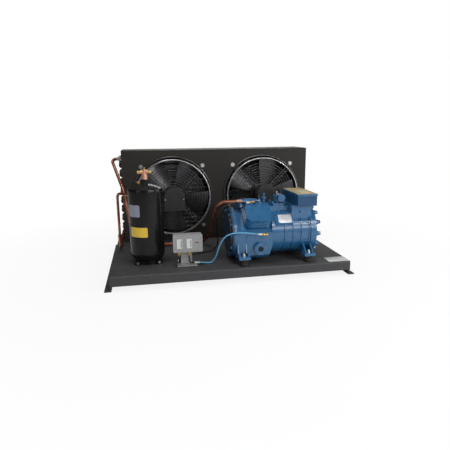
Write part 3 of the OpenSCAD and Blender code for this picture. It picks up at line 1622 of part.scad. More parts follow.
module blue_hose() {
    color([0.35, 0.65, 0.84]) swept_tube(smooth_route(blue_route, hose_steps), hose_r, hose_sides,
        [[1, 0, 0], unit(lp_turn - blue_end)]);
}
module black_hose() {
    color([0.07, 0.07, 0.07])
        swept_tube(smooth_route(black_route, hose_steps), hose_r, hose_sides,
            [[0, 1, 0], unit(hp_turn - black_end)]);
}

base_tray();
rail_left();
rail_right();
fan_shroud();
casing_top();
casing_floor();
tube_sheet_left();
tube_sheet_right();
casing_end_right();
coil_fins();
coil_tubes();
return_bends_left();
return_bends_right();
gas_header();
liquid_header();
fan_guard_left();
fan_guard_right();
guard_bolts();
fan_motor_left();
fan_motor_right();
fan_impeller_left();
fan_impeller_right();
receiver_shell();
receiver_foot();
receiver_bolts();
receiver_valve();
receiver_spindle();
fusible_plug();
switch_case();
switch_cover();
switch_windows();
switch_bracket();
switch_fittings();
crankcase();
crank_end_cover();
motor_barrel();
motor_end_cover();
end_cover_bolts();
front_valve_plate();
rear_valve_plate();
front_cylinder_head();
rear_cylinder_head();
head_bolts();
crankshaft();
motor_stator();
terminal_box();
terminal_box_lid();
suction_valve();
suction_spindle();
discharge_valve();
discharge_spindle();
sight_glass();
lifting_eye();
rubber_mounts();
mount_bolts();
discharge_pipe();
liquid_pipe();
hose_fittings();
blue_hose();
black_hose();
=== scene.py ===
"""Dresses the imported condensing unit: hoses, fin pack, labels, small fasteners, looks and studio."""
import json
import math

import bmesh
import bpy
from mathutils import Matrix, Vector


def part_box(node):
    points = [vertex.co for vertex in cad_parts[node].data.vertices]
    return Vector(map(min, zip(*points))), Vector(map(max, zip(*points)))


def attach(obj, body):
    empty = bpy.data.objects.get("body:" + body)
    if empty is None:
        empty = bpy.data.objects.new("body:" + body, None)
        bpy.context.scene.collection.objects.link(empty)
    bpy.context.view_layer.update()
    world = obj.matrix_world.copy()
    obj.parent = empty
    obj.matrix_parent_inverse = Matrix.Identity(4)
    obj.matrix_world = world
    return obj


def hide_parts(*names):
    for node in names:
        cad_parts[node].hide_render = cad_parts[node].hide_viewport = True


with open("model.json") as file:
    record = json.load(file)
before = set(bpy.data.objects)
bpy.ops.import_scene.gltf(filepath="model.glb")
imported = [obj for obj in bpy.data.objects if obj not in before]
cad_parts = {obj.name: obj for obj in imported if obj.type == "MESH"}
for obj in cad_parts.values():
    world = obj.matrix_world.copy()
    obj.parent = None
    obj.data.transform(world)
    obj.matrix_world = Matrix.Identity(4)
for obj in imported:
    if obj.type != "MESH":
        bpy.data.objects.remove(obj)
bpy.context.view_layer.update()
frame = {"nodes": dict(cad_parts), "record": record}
MM = 0.001
UNIT = "unit"

# The camera stands where the photograph was taken from
CAMERA_PLACE = (-0.3683, -2.1406, 0.6673)
CAMERA_YAW = math.radians(10.58)
CAMERA_PITCH = math.radians(12.36)
CAMERA_ROLL = math.radians(-0.55)
CAMERA_LENS = 33.77
CAMERA_SHIFT = (-0.0029, -0.0044)
CAMERA_CLIP = (0.05, 60.0)

# Places and sizes that the part's source has, in millimetres
DECK_TOP = 67
COMPRESSOR = Vector((6.0, -222.0, 197.0))
RECEIVER_AXIS = (-380.0, -190.0)
RECEIVER_R = 79.0
VALVE_BODY_R = 13
SWITCH_X = -203
SWITCH_FRONT = -316.0
SWITCH_DEPTH = 48
SWITCH_MIDDLE_Z = 175
SWITCH_BOTTOM = 135
FAN_MIDDLE_X = 20
FAN_HALF_GAP = 252
FAN_Z = 314
GUARD_RIM_R = 202
TUBE_ROWS, TUBES_IN_ROW = 3, 18
TUBE_PITCH, ROW_PITCH = 25.4, 22
COIL_BOTTOM = 81
PLATE_TILT = math.radians(36)


def set_camera():
    data = bpy.data.cameras.new("photo_camera")
    data.lens = CAMERA_LENS
    data.sensor_width = 36.0
    data.shift_x, data.shift_y = CAMERA_SHIFT
    data.clip_start, data.clip_end = CAMERA_CLIP
    camera = bpy.data.objects.new("photo_camera", data)
    bpy.context.scene.collection.objects.link(camera)
    ahead = Vector((math.sin(CAMERA_YAW) * math.cos(CAMERA_PITCH),
                    math.cos(CAMERA_YAW) * math.cos(CAMERA_PITCH), -math.sin(CAMERA_PITCH)))
    level = Vector((math.cos(CAMERA_YAW), -math.sin(CAMERA_YAW), 0.0))
    above = level.cross(ahead)
    right = level * math.cos(CAMERA_ROLL) + above * math.sin(CAMERA_ROLL)
    up = above * math.cos(CAMERA_ROLL) - level * math.sin(CAMERA_ROLL)
    turned = Matrix((right, up, -ahead)).transposed().to_4x4()
    camera.matrix_world = Matrix.Translation(CAMERA_PLACE) @ turned
    bpy.context.scene.camera = camera


set_camera()
bpy.context.scene.view_settings.view_transform = "Standard"


# Shader node helpers
def place(tree, kind, values=None, **settings):
    """Adds a node. A value that is a socket is linked, any other is set."""
    made = tree.nodes.new(kind)
    for name, value in settings.items():
        setattr(made, name, value)
    for socket, value in (values or {}).items():
        if isinstance(value, bpy.types.NodeSocket):
            tree.links.new(value, made.inputs[socket])
        else:
            made.inputs[socket].default_value = value
    return made


def maths(tree, operation, first, second=None, clamp=False):
    values = {0: first} if second is None else {0: first, 1: second}
    return place(tree, "ShaderNodeMath", values, operation=operation, use_clamp=clamp).outputs[0]


def blend_colour(tree, amount, below, above):
    return place(tree, "ShaderNodeMix", {0: amount, 6: below, 7: above}, data_type="RGBA").outputs[2]


def spread(tree, value, low, high, to_low=0.0, to_high=1.0):
    return place(tree, "ShaderNodeMapRange",
                 {0: value, 1: low, 2: high, 3: to_low, 4: to_high}).outputs[0]


def noise(tree, where, scale, detail, roughness=0.5):
    return place(tree, "ShaderNodeTexNoise", {"Vector": where, "Scale": scale, "Detail": detail,
                                              "Roughness": roughness}).outputs[0]


def split(tree, vector):
    return place(tree, "ShaderNodeSeparateXYZ", {0: vector}).outputs


def distance(tree, first, second):
    """Length of the vector that has these two parts."""
    arm = place(tree, "ShaderNodeCombineXYZ", {0: first, 1: second}).outputs[0]
    return place(tree, "ShaderNodeVectorMath", {0: arm}, operation="LENGTH").outputs["Value"]


def own_place(tree):
    return place(tree, "ShaderNodeTexCoord").outputs["Object"]


def round_off(tree, radius):
    return place(tree, "ShaderNodeBevel", {"Radius": radius}, samples=4).outputs[0]


# Effects that several materials use, each built once as a node group
EFFECTS = {}


def effect(name, inputs, outputs):
    """An empty node group with float inputs {name: value} and outputs {name: socket type}."""
    tree = bpy.data.node_groups.new(name, "ShaderNodeTree")
    for label, value in inputs.items():
        socket = tree.interface.new_socket(label, in_out="INPUT", socket_type="NodeSocketFloat")
        socket.default_value = value
    for label, kind in outputs.items():
        tree.interface.new_socket(label, in_out="OUTPUT", socket_type=kind)
    EFFECTS[name] = tree
    return tree, tree.nodes.new("NodeGroupInput").outputs, tree.nodes.new("NodeGroupOutput").inputs


def build_soft_edge():
    """Rounds the look of a sheet's or casting's edges."""
    tree, given, result = effect("soft_edge", {"Radius": 0.001}, {"Normal": "NodeSocketVector"})
    tree.links.new(round_off(tree, given["Radius"]), result["Normal"])


def build_edge_rub():
    """Mask of rubbed edges, broken up by a fine noise."""
    tree, given, result = effect("edge_rub", {"Radius": 0.0012, "Scale": 90.0, "Amount": 0.5},
                                 {"Mask": "NodeSocketFloat"})
    plain = place(tree, "ShaderNodeNewGeometry").outputs["Normal"]
    same = place(tree, "ShaderNodeVectorMath", {0: round_off(tree, given["Radius"]), 1: plain},
                 operation="DOT_PRODUCT").outputs["Value"]
    bare = spread(tree, same, 0.985, 0.86)
    broken = spread(tree, noise(tree, own_place(tree), given["Scale"], 4.0, 0.65), 0.46, 0.6)
    worn = maths(tree, "MULTIPLY", bare, broken)
    tree.links.new(maths(tree, "MULTIPLY", worn, given["Amount"], clamp=True), result["Mask"])


def build_settled_dust():
    """Mask of a thin uneven dust on surfaces that face up."""
    tree, given, result = effect("settled_dust", {"Amount": 0.3, "Scale": 14.0},
                                 {"Mask": "NodeSocketFloat"})
    upward = split(tree, place(tree, "ShaderNodeNewGeometry").outputs["Normal"])["Z"]
    level = spread(tree, upward, 0.35, 0.95)
    patches = noise(tree, own_place(tree), given["Scale"], 6.0, 0.7)
    lying = maths(tree, "MULTIPLY", level, spread(tree, patches, 0.35, 0.7, 0.25, 1.0))
    tree.links.new(maths(tree, "MULTIPLY", lying, given["Amount"], clamp=True), result["Mask"])


def build_cast_skin():
    """Height and tone of painted cast iron: fine sand grain with a slow waviness."""
    tree, given, result = effect("cast_skin", {"Grain": 700.0},
                                 {"Height": "NodeSocketFloat", "Tone": "NodeSocketFloat"})
    where = own_place(tree)
    wave = noise(tree, where, 38.0, 3.0)
    grain = maths(tree, "MULTIPLY", noise(tree, where, given["Grain"], 2.0), 0.4)
    high = maths(tree, "ADD", grain, maths(tree, "MULTIPLY", wave, 0.9))
    tree.links.new(high, result["Height"])
    tree.links.new(spread(tree, wave, 0.3, 0.7), result["Tone"])


def build_paint_skin():
    """Height and tone of sprayed sheet: orange peel and a slow drift of tone."""
    tree, given, result = effect("paint_skin", {"Peel": 900.0, "Drift": 5.0},
                                 {"Height": "NodeSocketFloat", "Tone": "NodeSocketFloat"})
    where = own_place(tree)
    drift = noise(tree, where, given["Drift"], 5.0, 0.6)
    tree.links.new(noise(tree, where, given["Peel"], 1.0), result["Height"])
    tree.links.new(spread(tree, drift, 0.3, 0.7), result["Tone"])


def build_metal_skin():
    """Drawn or rolled metal: streaks along one axis, stains and a slight relief."""
    tree, given, result = effect("metal_skin", {"Across": 600.0, "Along": 12.0, "Stain": 26.0},
                                 {"Height": "NodeSocketFloat", "Streak": "NodeSocketFloat",
                                  "Stain": "NodeSocketFloat"})
    where = own_place(tree)
    parts = split(tree, where)
    stretched = place(tree, "ShaderNodeCombineXYZ", {
        axis: maths(tree, "MULTIPLY", parts[axis], given[scale])
        for axis, scale in enumerate(("Across", "Across", "Along"))}).outputs[0]
    streak = noise(tree, stretched, 1.0, 3.0)
    stain = noise(tree, where, given["Stain"], 6.0, 0.62)
    tree.links.new(streak, result["Height"])
    tree.links.new(spread(tree, streak, 0.3, 0.7), result["Streak"])
    tree.links.new(spread(tree, stain, 0.34, 0.68), result["Stain"])


def build_zinc_flower():
    """Cell pattern of galvanised sheet."""
    tree, given, result = effect("zinc_flower", {"Scale": 130.0}, {"Tone": "NodeSocketFloat"})
    cells = place(tree, "ShaderNodeTexVoronoi", {"Vector": own_place(tree), "Scale": given["Scale"]})
    grey = place(tree, "ShaderNodeSeparateColor", {0: cells.outputs["Color"]}).outputs[0]
    tree.links.new(grey, result["Tone"])


for build in (build_soft_edge, build_edge_rub, build_settled_dust, build_cast_skin, build_paint_skin,
              build_metal_skin, build_zinc_flower):
    build()


# Material recipes. Each adds its material to MATERIALS under its own name
MATERIALS = {}
DUST = (0.33, 0.31, 0.28, 1.0)
ROUGH_SWING = 0.05


def use(tree, name, **values):
    """An effect's outputs, with these values at its inputs."""
    made = place(tree, "ShaderNodeGroup", node_tree=EFFECTS[name])
    for label, value in values.items():
        made.inputs[label].default_value = value
    return made.outputs


def new_material(name):
    material = bpy.data.materials.new(name)
    material.use_nodes = True
    MATERIALS[name] = material
    return material.node_tree, material.node_tree.nodes["Principled BSDF"]


def feed(tree, shader, colour, rough, normal=None):
    for label, source in (("Base Color", colour), ("Roughness", rough), ("Normal", normal)):
        if source is not None:
            tree.links.new(source, shader.inputs[label])


def shade(colour, factor):
    return (*[min(1.0, c * factor) for c in colour], 1.0)


def swing(tree, tone, rough):
    return spread(tree, tone, 0, 1, rough - ROUGH_SWING, rough + ROUGH_SWING)


def rounded_relief(tree, height, relief, edge):
    """Normal of softened edges with a fine relief on it."""
    rounded = use(tree, "soft_edge", Radius=edge)["Normal"]
    return place(tree, "ShaderNodeBump", {"Strength": 1.0, "Distance": relief, "Height": height,
                                          "Normal": rounded}).outputs[0]


def painted(name, colour, rough, rub_colour, dust, edge, skin="paint_skin", relief=0.00002, rub=0.3,
            coat=0.0, drift=0.14, specular=0.5):
    """Paint on sheet or casting, with drift of tone, rubbed edges and a little dust."""
    tree, shader = new_material(name)
    surface = use(tree, skin)
    body = blend_colour(tree, surface["Tone"], shade(colour, 1 - drift), shade(colour, 1 + drift))
    bare = use(tree, "edge_rub", Radius=edge, Amount=rub)["Mask"]
    rubbed = blend_colour(tree, bare, body, (*rub_colour, 1.0))
    grey = use(tree, "settled_dust", Amount=dust)["Mask"]
    dusty = blend_colour(tree, grey, rubbed, DUST)
    gloss = maths(tree, "ADD", swing(tree, surface["Tone"], rough),
                  maths(tree, "MULTIPLY", grey, 0.5), clamp=True)
    shader.inputs["Coat Weight"].default_value = coat
    shader.inputs["Coat Roughness"].default_value = 0.15
    shader.inputs["Specular IOR Level"].default_value = specular
    feed(tree, shader, dusty, gloss, rounded_relief(tree, surface["Height"], relief, edge))


def metal(name, colour, rough, stain_colour=None, streak=0.1, edge=0.0005, metallic=1.0,
          stain_amount=0.5, along=12.0, across=600.0, patch=None, patch_colour=None):
    """Bare metal with streaks and stains, and with patch_colour where patch has its mask."""
    tree, shader = new_material(name)
    surface = use(tree, "metal_skin", Along=along, Across=across)
    bright = blend_colour(tree, surface["Streak"], shade(colour, 1 - streak), shade(colour, 1 + streak))
    if patch:
        bright = blend_colour(tree, patch(tree), bright, (*patch_colour, 1.0))
    stained = maths(tree, "MULTIPLY", surface["Stain"], stain_amount)
    tint = (*stain_colour, 1.0) if stain_colour else shade(colour, 0.7)
    gloss = maths(tree, "ADD", swing(tree, surface["Streak"], rough),
                  maths(tree, "MULTIPLY", stained, 0.2), clamp=True)
    shader.inputs["Metallic"].default_value = metallic
    feed(tree, shader, blend_colour(tree, stained, bright, tint), gloss,
         rounded_relief(tree, surface["Height"], 0.00002, edge))


def rim_painted_highlight(tree):
    """Mask of the thick front ring of both fan guards, by its distance from the fan's axis. The pale
    metal put there is a painted highlight on the black wire.
    """
    parts = split(tree, own_place(tree))
    from_middle = maths(tree, "ABSOLUTE", maths(tree, "SUBTRACT", parts["X"], FAN_MIDDLE_X * MM))
    reach = distance(tree, maths(tree, "SUBTRACT", from_middle, FAN_HALF_GAP * MM),
                     maths(tree, "SUBTRACT", parts["Z"], FAN_Z * MM))
    outside = spread(tree, reach, (GUARD_RIM_R - 5.5) * MM, (GUARD_RIM_R - 4.5) * MM)
    inside = spread(tree, reach, (GUARD_RIM_R + 4.5) * MM, (GUARD_RIM_R + 5.5) * MM, 1.0, 0.0)
    return maths(tree, "MULTIPLY", outside, inside)


def valve_arms(tree):
    """Mask of the receiver valve's two side arms, by their distance from its axis."""
    side = maths(tree, "SUBTRACT", split(tree, own_place(tree))["X"], RECEIVER_AXIS[0] * MM)
    return spread(tree, maths(tree, "ABSOLUTE", side), (VALVE_BODY_R - 0.5) * MM,
                  (VALVE_BODY_R + 0.5) * MM)


def galvanised(name, colour, rough):
    """Zinc coated sheet with its cell pattern."""
    tree, shader = new_material(name)
    flower = use(tree, "zinc_flower")["Tone"]
    cells = blend_colour(tree, flower, shade(colour, 0.82), shade(colour, 1.12))
    dull = maths(tree, "MULTIPLY", use(tree, "metal_skin", Stain=12.0)["Stain"], 0.35)
    shader.inputs["Metallic"].default_value = 0.4
    feed(tree, shader, blend_colour(tree, dull, cells, shade(colour, 0.6)),
         spread(tree, flower, 0, 1, rough - 0.08, rough + 0.1),
         use(tree, "soft_edge", Radius=0.0008)["Normal"])


def moulded(name, colour, rough, relief=0.00001, dust=0.06, drift=0.05):
    """Plastic, rubber or card with a fine grain."""
    painted(name, colour, rough, shade(colour, 1.25)[:3], dust, 0.001, relief=relief, rub=0.25,
            drift=drift)


def glazed(name, colour):
    """Dark glass of a small sight window."""
    tree, shader = new_material(name)
    smear = use(tree, "paint_skin", Drift=60.0)["Tone"]
    shader.inputs["Specular IOR Level"].default_value = 0.35
    feed(tree, shader, blend_colour(tree, smear, shade(colour, 0.8), shade(colour, 1.3)),
         spread(tree, smear, 0, 1, 0.02, 0.12))


# One material for each slot of the record
painted("tray_paint", (0.040, 0.040, 0.043), 0.5, (0.10, 0.10, 0.10), 0.10, 0.0015, drift=0.08)
painted("case_paint", (0.0220, 0.0196, 0.0164), 0.6, (0.09, 0.085, 0.08), 0.08, 0.0012, drift=0.1,
        specular=0.3)
# Dull aluminium, made darker than bare aluminium because the fins sit in shadow: partly painted shade
metal("coil_fin", (0.30, 0.31, 0.31), 0.5, (0.14, 0.14, 0.14), metallic=0.9)
metal("copper_pipe", (0.51, 0.20, 0.122), 0.36, (0.15, 0.055, 0.035), stain_amount=0.85, streak=0.14)
metal("zinc_steel", (0.62, 0.62, 0.60), 0.3, (0.4, 0.39, 0.36))
# Pale metal on the guards' thick front ring: painted highlight on the same black wire
metal("black_wire", (0.13, 0.13, 0.135), 0.26, (0.07, 0.07, 0.07), metallic=0.85, stain_amount=0.3,
      edge=0.0003, patch=rim_painted_highlight, patch_colour=(0.62, 0.62, 0.63))
painted("motor_black", (0.022, 0.022, 0.023), 0.45, (0.08, 0.08, 0.08), 0.15, 0.0015)
metal("blade_grey", (0.080, 0.079, 0.083), 0.30, (0.045, 0.045, 0.047), along=8.0, across=160.0,
      streak=0.2, metallic=0.7)
painted("receiver_black", (0.0075, 0.0070, 0.0075), 0.22, (0.05, 0.05, 0.05), 0.04, 0.002,
        relief=0.00003, rub=0.2, drift=0.1, specular=0.26)
metal("brass_fitting", (0.76, 0.50, 0.17), 0.38, (0.42, 0.25, 0.07))
moulded("switch_grey", (0.28, 0.28, 0.285), 0.42)
moulded("window_clear", (0.60, 0.60, 0.61), 0.2)
painted("compressor_blue", (0.014, 0.106, 0.246), 0.30, (0.10, 0.22, 0.36), 0.05, 0.0022,
        skin="cast_skin", relief=0.00009, drift=0.05, coat=0.65)
metal("steel_inner", (0.50, 0.50, 0.51), 0.35)
metal("winding", (0.45, 0.22, 0.12), 0.4, metallic=0.6)
moulded("rubber_black", (0.013, 0.013, 0.013), 0.75, relief=0.00003)
moulded("hose_blue", (0.105, 0.36, 0.58), 0.34)
moulded("hose_black", (0.012, 0.012, 0.013), 0.4)

# Materials of single pieces
galvanised("bracket_zinc", (0.56, 0.57, 0.57), 0.42)
metal("valve_copper", (0.80, 0.44, 0.32), 0.33, (0.45, 0.17, 0.10))
metal("valve_two_tone", (0.76, 0.42, 0.31), 0.45, (0.45, 0.17, 0.10), stain_amount=0.35,
      patch=valve_arms, patch_colour=(0.78, 0.56, 0.22))
metal("braze_bright", (0.80, 0.58, 0.40), 0.28, (0.6, 0.38, 0.22), stain_amount=0.4)
moulded("collar_white", (0.74, 0.74, 0.72), 0.4)
# Darker copy of the compressor blue for the crank end cover, which faces away from the lamps: painted
# shade
painted("cover_painted_shade_blue", (0.014, 0.032, 0.060), 0.38, (0.06, 0.10, 0.16), 0.05, 0.002,
        skin="cast_skin", relief=0.0003, coat=0.1)
painted("box_blue", (0.007, 0.056, 0.142), 0.34, (0.08, 0.16, 0.26), 0.05, 0.0015, drift=0.05)
metal("plate_aluminium", (0.88, 0.87, 0.90), 0.46, (0.52, 0.51, 0.55), across=12.0, along=900.0,
      metallic=0.8)
moulded("label_grey", (0.25, 0.27, 0.34), 0.4, dust=0.02)
moulded("label_yellow", (0.74, 0.50, 0.045), 0.4, dust=0.02)
moulded("label_white", (0.60, 0.61, 0.60), 0.45, dust=0.05)
moulded("card_tan", (0.37, 0.285, 0.14), 0.7, dust=0.04, drift=0.2)
moulded("card_pale", (0.50, 0.45, 0.31), 0.6, dust=0.02, drift=0.1)
# Dull grey-brown in place of bare copper for the coil's return bends, so they show less
metal("bend_dull_grey", (0.20, 0.17, 0.155), 0.42, (0.06, 0.05, 0.05), metallic=0.8)
glazed("sight_dark", (0.006, 0.0045, 0.0035))
# Same dull, darkened aluminium for the fin sheets: partly painted shade
metal("fin_sheet_dull_and_shade", (0.34, 0.35, 0.35), 0.5, (0.12, 0.12, 0.12), metallic=0.9)
metal("fin_collar", (0.75, 0.75, 0.74), 0.3, metallic=0.9)
moulded("tag_black", (0.02, 0.02, 0.02), 0.5)


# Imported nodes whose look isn't that of their slot
NODE_LOOKS = {
    "receiver_valve": "valve_two_tone", "switch_bracket": "bracket_zinc",
    "crank_end_cover": "cover_painted_shade_blue", "terminal_box": "box_blue",
    "return_bends_left": "bend_dull_grey", "return_bends_right": "bend_dull_grey",
}
SHARP_ANGLE = math.radians(32)


def smooth_by_angle(piece):
    for face in piece.data.polygons:
        face.use_smooth = True
    if piece.data.has_custom_normals:
        return
    crease = piece.modifiers.new("crease", "EDGE_SPLIT")
    crease.split_angle = SHARP_ANGLE
    crease.use_edge_sharp = False


def dress_cad_nodes():
    """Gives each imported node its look, with smooth curved faces."""
    slot_of = {row["node"]: row["material_slot"] for row in frame["record"]["subparts"]}
    for name, piece in frame["nodes"].items():
        piece.data.materials.clear()
        piece.data.materials.append(MATERIALS[NODE_LOOKS.get(name, slot_of[name])])
        smooth_by_angle(piece)


# Mesh building, in millimetres
NUT_STEPS = 24
NUT_CHAMFER = 0.12
NUT_TURNED = 0.97
SLAB_CORNER_STEPS = 5
PIPE_SIDES = 16
OUTWARD = (0, -1, 0)  # towards the unit's front


def stand(origin, along=(0, 0, 1), towards=None):
    """A placement whose Z runs along the given direction and whose X points towards another."""
    z = Vector(along).normalized()
    guide = Vector(towards) if towards else (Vector((0, 0, 1)) if abs(z.z) < 0.9 else Vector((1, 0, 0)))
    x = (guide - z * guide.dot(z)).normalized()
    return Matrix.Translation(Vector(origin)) @ Matrix((x, z.cross(x), z)).transposed().to_4x4()


def box_mm(node):
    return [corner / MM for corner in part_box(node)]


class Form:
    """Gathers the faces of one piece."""

    def __init__(self):
        self.mesh = bmesh.new()

    def ring(self, points, at):
        return [self.mesh.verts.new(at @ Vector(p)) for p in points]

    def turned(self, profile, at, steps):
        """One ring of points round Z for each (radius, height)."""
        angles = [2 * math.pi * k / steps for k in range(steps)]
        return [self.ring([(radius * math.cos(a), radius * math.sin(a), height) for a in angles], at)
                for radius, height in profile]

    def skin(self, rings, capped=True):
        for low, high in zip(rings, rings[1:]):
            for i in range(len(low)):
                j = (i + 1) % len(low)
                self.mesh.faces.new((low[i], low[j], high[j], high[i]))
        if capped:
            self.mesh.faces.new(list(reversed(rings[0])))
            self.mesh.faces.new(rings[-1])

    def lathe(self, profile, at, steps=32):
        """Turns (radius, height) points round Z into a solid with flat ends."""
        self.skin(self.turned(profile, at, steps))

    def hoop(self, profile, at, steps=40):
        """Turns a closed outline of (radius, height) points round Z into a ring."""
        rings = self.turned(profile, at, steps)
        self.skin(rings + rings[:1], capped=False)

    def nut(self, across, height, at):
        """Hexagon with turned corners."""
        rings = []
        for z, trimmed in ((0.0, True), (height * NUT_CHAMFER, False),
                           (height * (1 - NUT_CHAMFER), False), (height, True)):
            points = []
            for k in range(NUT_STEPS):
                angle = 2 * math.pi * k / NUT_STEPS
                from_flat = (angle + math.pi / 6) % (math.pi / 3) - math.pi / 6
                reach = across / 2 * (NUT_TURNED if trimmed else 1 / math.cos(from_flat))
                points.append((reach * math.cos(angle), reach * math.sin(angle), z))
            rings.append(self.ring(points, at))
        self.skin(rings)

    def slab(self, width, depth, height, radius, at):
        """Plate with rounded corners and a softened upper edge."""
        soft = min(height, radius) * 0.35
        rings = []
        for inset, z in ((0.0, 0.0), (0.0, height - soft), (soft * 0.3, height - soft * 0.3),
                         (soft, height)):
            points = []
            for cx, cy, start in ((1, 1, 0), (-1, 1, 90), (-1, -1, 180), (1, -1, 270)):
                for k in range(SLAB_CORNER_STEPS + 1):
                    angle = math.radians(start + 90 * k / SLAB_CORNER_STEPS)
                    points.append((cx * (width / 2 - radius) + (radius - inset) * math.cos(angle),
                                   cy * (depth / 2 - radius) + (radius - inset) * math.sin(angle), z))
            rings.append(self.ring(points, at))
        self.skin(rings)

    def pipe(self, points, radius):
        """Round tube along points, with ends square to the run."""
        side, rings = None, []
        for i, p in enumerate(points):
            ahead = (points[min(i + 1, len(points) - 1)] - points[max(i - 1, 0)]).normalized()
            if side is None:
                side = ahead.orthogonal()
            side = (side - ahead * side.dot(ahead)).normalized()
            at = Matrix.Translation(p) @ Matrix((side, ahead.cross(side), ahead)).transposed().to_4x4()
            rings += self.turned([(radius, 0.0)], at, PIPE_SIDES)
        self.skin(rings)

    def done(self, name, look, slot=None, replaces=()):
        bmesh.ops.recalc_face_normals(self.mesh, faces=self.mesh.faces)
        bmesh.ops.scale(self.mesh, vec=(MM, MM, MM), verts=self.mesh.verts)
        data = bpy.data.meshes.new(name)
        self.mesh.to_mesh(data)
        self.mesh.free()
        piece = bpy.data.objects.new(name, data)
        bpy.context.scene.collection.objects.link(piece)
        data.materials.append(MATERIALS[look])
        smooth_by_angle(piece)
        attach(piece, UNIT)
        if replaces:
            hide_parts(*replaces)
        return piece


def smooth_route(points, steps):
    """Catmull-Rom curve through points, as the part's source has it."""
    pts = [Vector(p) for p in points]
    made = []
    for i in range(len(pts) - 1):
        a, b, c, d = pts[max(i - 1, 0)], pts[i], pts[i + 1], pts[min(i + 2, len(pts) - 1)]
        for s in range(steps):
            t = s / steps
            made.append(0.5 * (2 * b + (c - a) * t + (2 * a - 5 * b + 4 * c - d) * t * t
                               + (3 * b - a - 3 * c + d) * t ** 3))
    return made + [pts[-1]]


def rounded_corner(points, bend, steps=7):
    """Two straight runs joined by an arc."""
    a, b, c = (Vector(p) for p in points)
    before, after = (b - a).normalized(), (c - b).normalized()
    turn = before.angle(after)
    normal = (after - before * after.dot(before)).normalized()
    centre = b - before * bend * math.tan(turn / 2) + normal * bend
    angles = [turn * k / steps for k in range(steps + 1)]
    arc = [centre + bend * (math.sin(angle) * before - math.cos(angle) * normal) for angle in angles]
    return [a, *arc, c]


# Hoses: the routes of the part's source
HOSE_R = 3.2
HOSE_STEPS = 8
COLLAR_R, COLLAR_L = 4.6, 24
TAIL_REACH = 24
TAIL_BEND = 14
NUT_TOP, NUT_LOW = SWITCH_BOTTOM - 5.2, SWITCH_BOTTOM - 18
RIGHT_PORT_X, LEFT_PORT_X = SWITCH_X + 6, SWITCH_X - 39
PORT_Y = SWITCH_FRONT + SWITCH_DEPTH * 0.52
HOSE_LOW = DECK_TOP + 9.9
LP_SEAT = COMPRESSOR + Vector((147, -113, 8))
HP_SEAT = COMPRESSOR + Vector((108, -19, 143))
LP_REACH, HP_REACH = 14, 12
LP_TURN = LP_SEAT + Vector((-22, -LP_REACH, 2))
HP_TURN = HP_SEAT + Vector((-16, -HP_REACH, -1))
TAIL_RIGHT = Vector((RIGHT_PORT_X + TAIL_REACH, PORT_Y, HOSE_LOW))
TAIL_LEFT = Vector((LEFT_PORT_X, PORT_Y + TAIL_REACH, HOSE_LOW))
BLUE_START = TAIL_RIGHT + Vector((COLLAR_L, 0, 0))
BLUE_END = LP_SEAT + Vector((-40, -LP_REACH, 4))
BLACK_START = TAIL_LEFT + Vector((0, COLLAR_L, 0))
BLACK_END = HP_SEAT + Vector((-34, -HP_REACH, -2))
BLUE_ROUTE = [BLUE_START, (-132, -291, 75), (-110, -291, 72), (-90, -290, 76), (-74, -300, 104),
              (-64, -312, 142), (-51, -326, 180), (-28, -340, 208), (10, -347, 219), (60, -350, 217),
              BLUE_END]
BLACK_ROUTE = [BLACK_START, (-242, -225, 73), (-236, -200, 72), (-220, -176, 72), (-190, -152, 72),
               (-150, -134, 72), (-110, -118, 72), (-70, -100, 74), (-38, -92, 92), (-32, -104, 130),
               (-42, -140, 176), (-52, -185, 222), (-54, -222, 266), (-42, -238, 302), (-14, -241, 326),
               (30, -238, 337), BLACK_END]


def run_hose(name, route, finish, node):
    points = [p * MM for p in smooth_route(route, HOSE_STEPS)]
    curve = bpy.data.curves.new(name, "CURVE")
    curve.dimensions = "3D"
    spline = curve.splines.new("POLY")
    spline.points.add(len(points) - 1)
    for knot, p in zip(spline.points, points):
        knot.co = (*p, 1.0)
    curve.bevel_depth = HOSE_R * MM
    curve.bevel_resolution = 4
    curve.use_fill_caps = True
    curve.materials.append(MATERIALS[finish])
    hose = bpy.data.objects.new(name, curve)
    bpy.context.scene.collection.objects.link(hose)
    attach(hose, UNIT)
    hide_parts(node)


def make_collar(name, start, end):
    """White crimped collar with two grooves."""
    form = Form()
    run = (Vector(end) - Vector(start)).length
    groove_r, end_r, flare = COLLAR_R - 0.5, COLLAR_R - 1.0, 0.8
    profile = [(end_r, 0), (COLLAR_R, flare)]
    for share in (0.35, 0.65):
        middle = share * run
        profile += [(COLLAR_R, middle - 2 * flare), (groove_r, middle - flare),
                    (groove_r, middle + flare), (COLLAR_R, middle + 2 * flare)]
    profile += [(COLLAR_R, run - flare), (end_r, run)]
    form.lathe(profile, stand(start, Vector(end) - Vector(start)), 20)
    return form.done(name, "collar_white")


def make_hose_end(name, seat, reach, turn):
    """Brass elbow fitting that leads a hose to its port."""
    form = Form()
    bend = seat + Vector((0, -reach, 0))
    form.lathe([(3.6, -11.5), (3.6, 0), (5.0, 0.2), (5.0, reach + 1)], stand(seat, OUTWARD), 20)
    form.nut(11, 5.0, stand(seat + Vector((0, -1.0, 0)), OUTWARD))
    away, run = (turn - bend).normalized(), (turn - bend).length
    form.lathe([(4.0, -5.0), (4.6, -4.2), (4.6, run - 9), (3.8, run - 8.5), (3.8, run)],
               stand(bend, away), 20)
    form.nut(11, 9.0, stand(bend + away * (run - 12), away))
    return form.done(name, "brass_fitting", slot="brass_fitting")


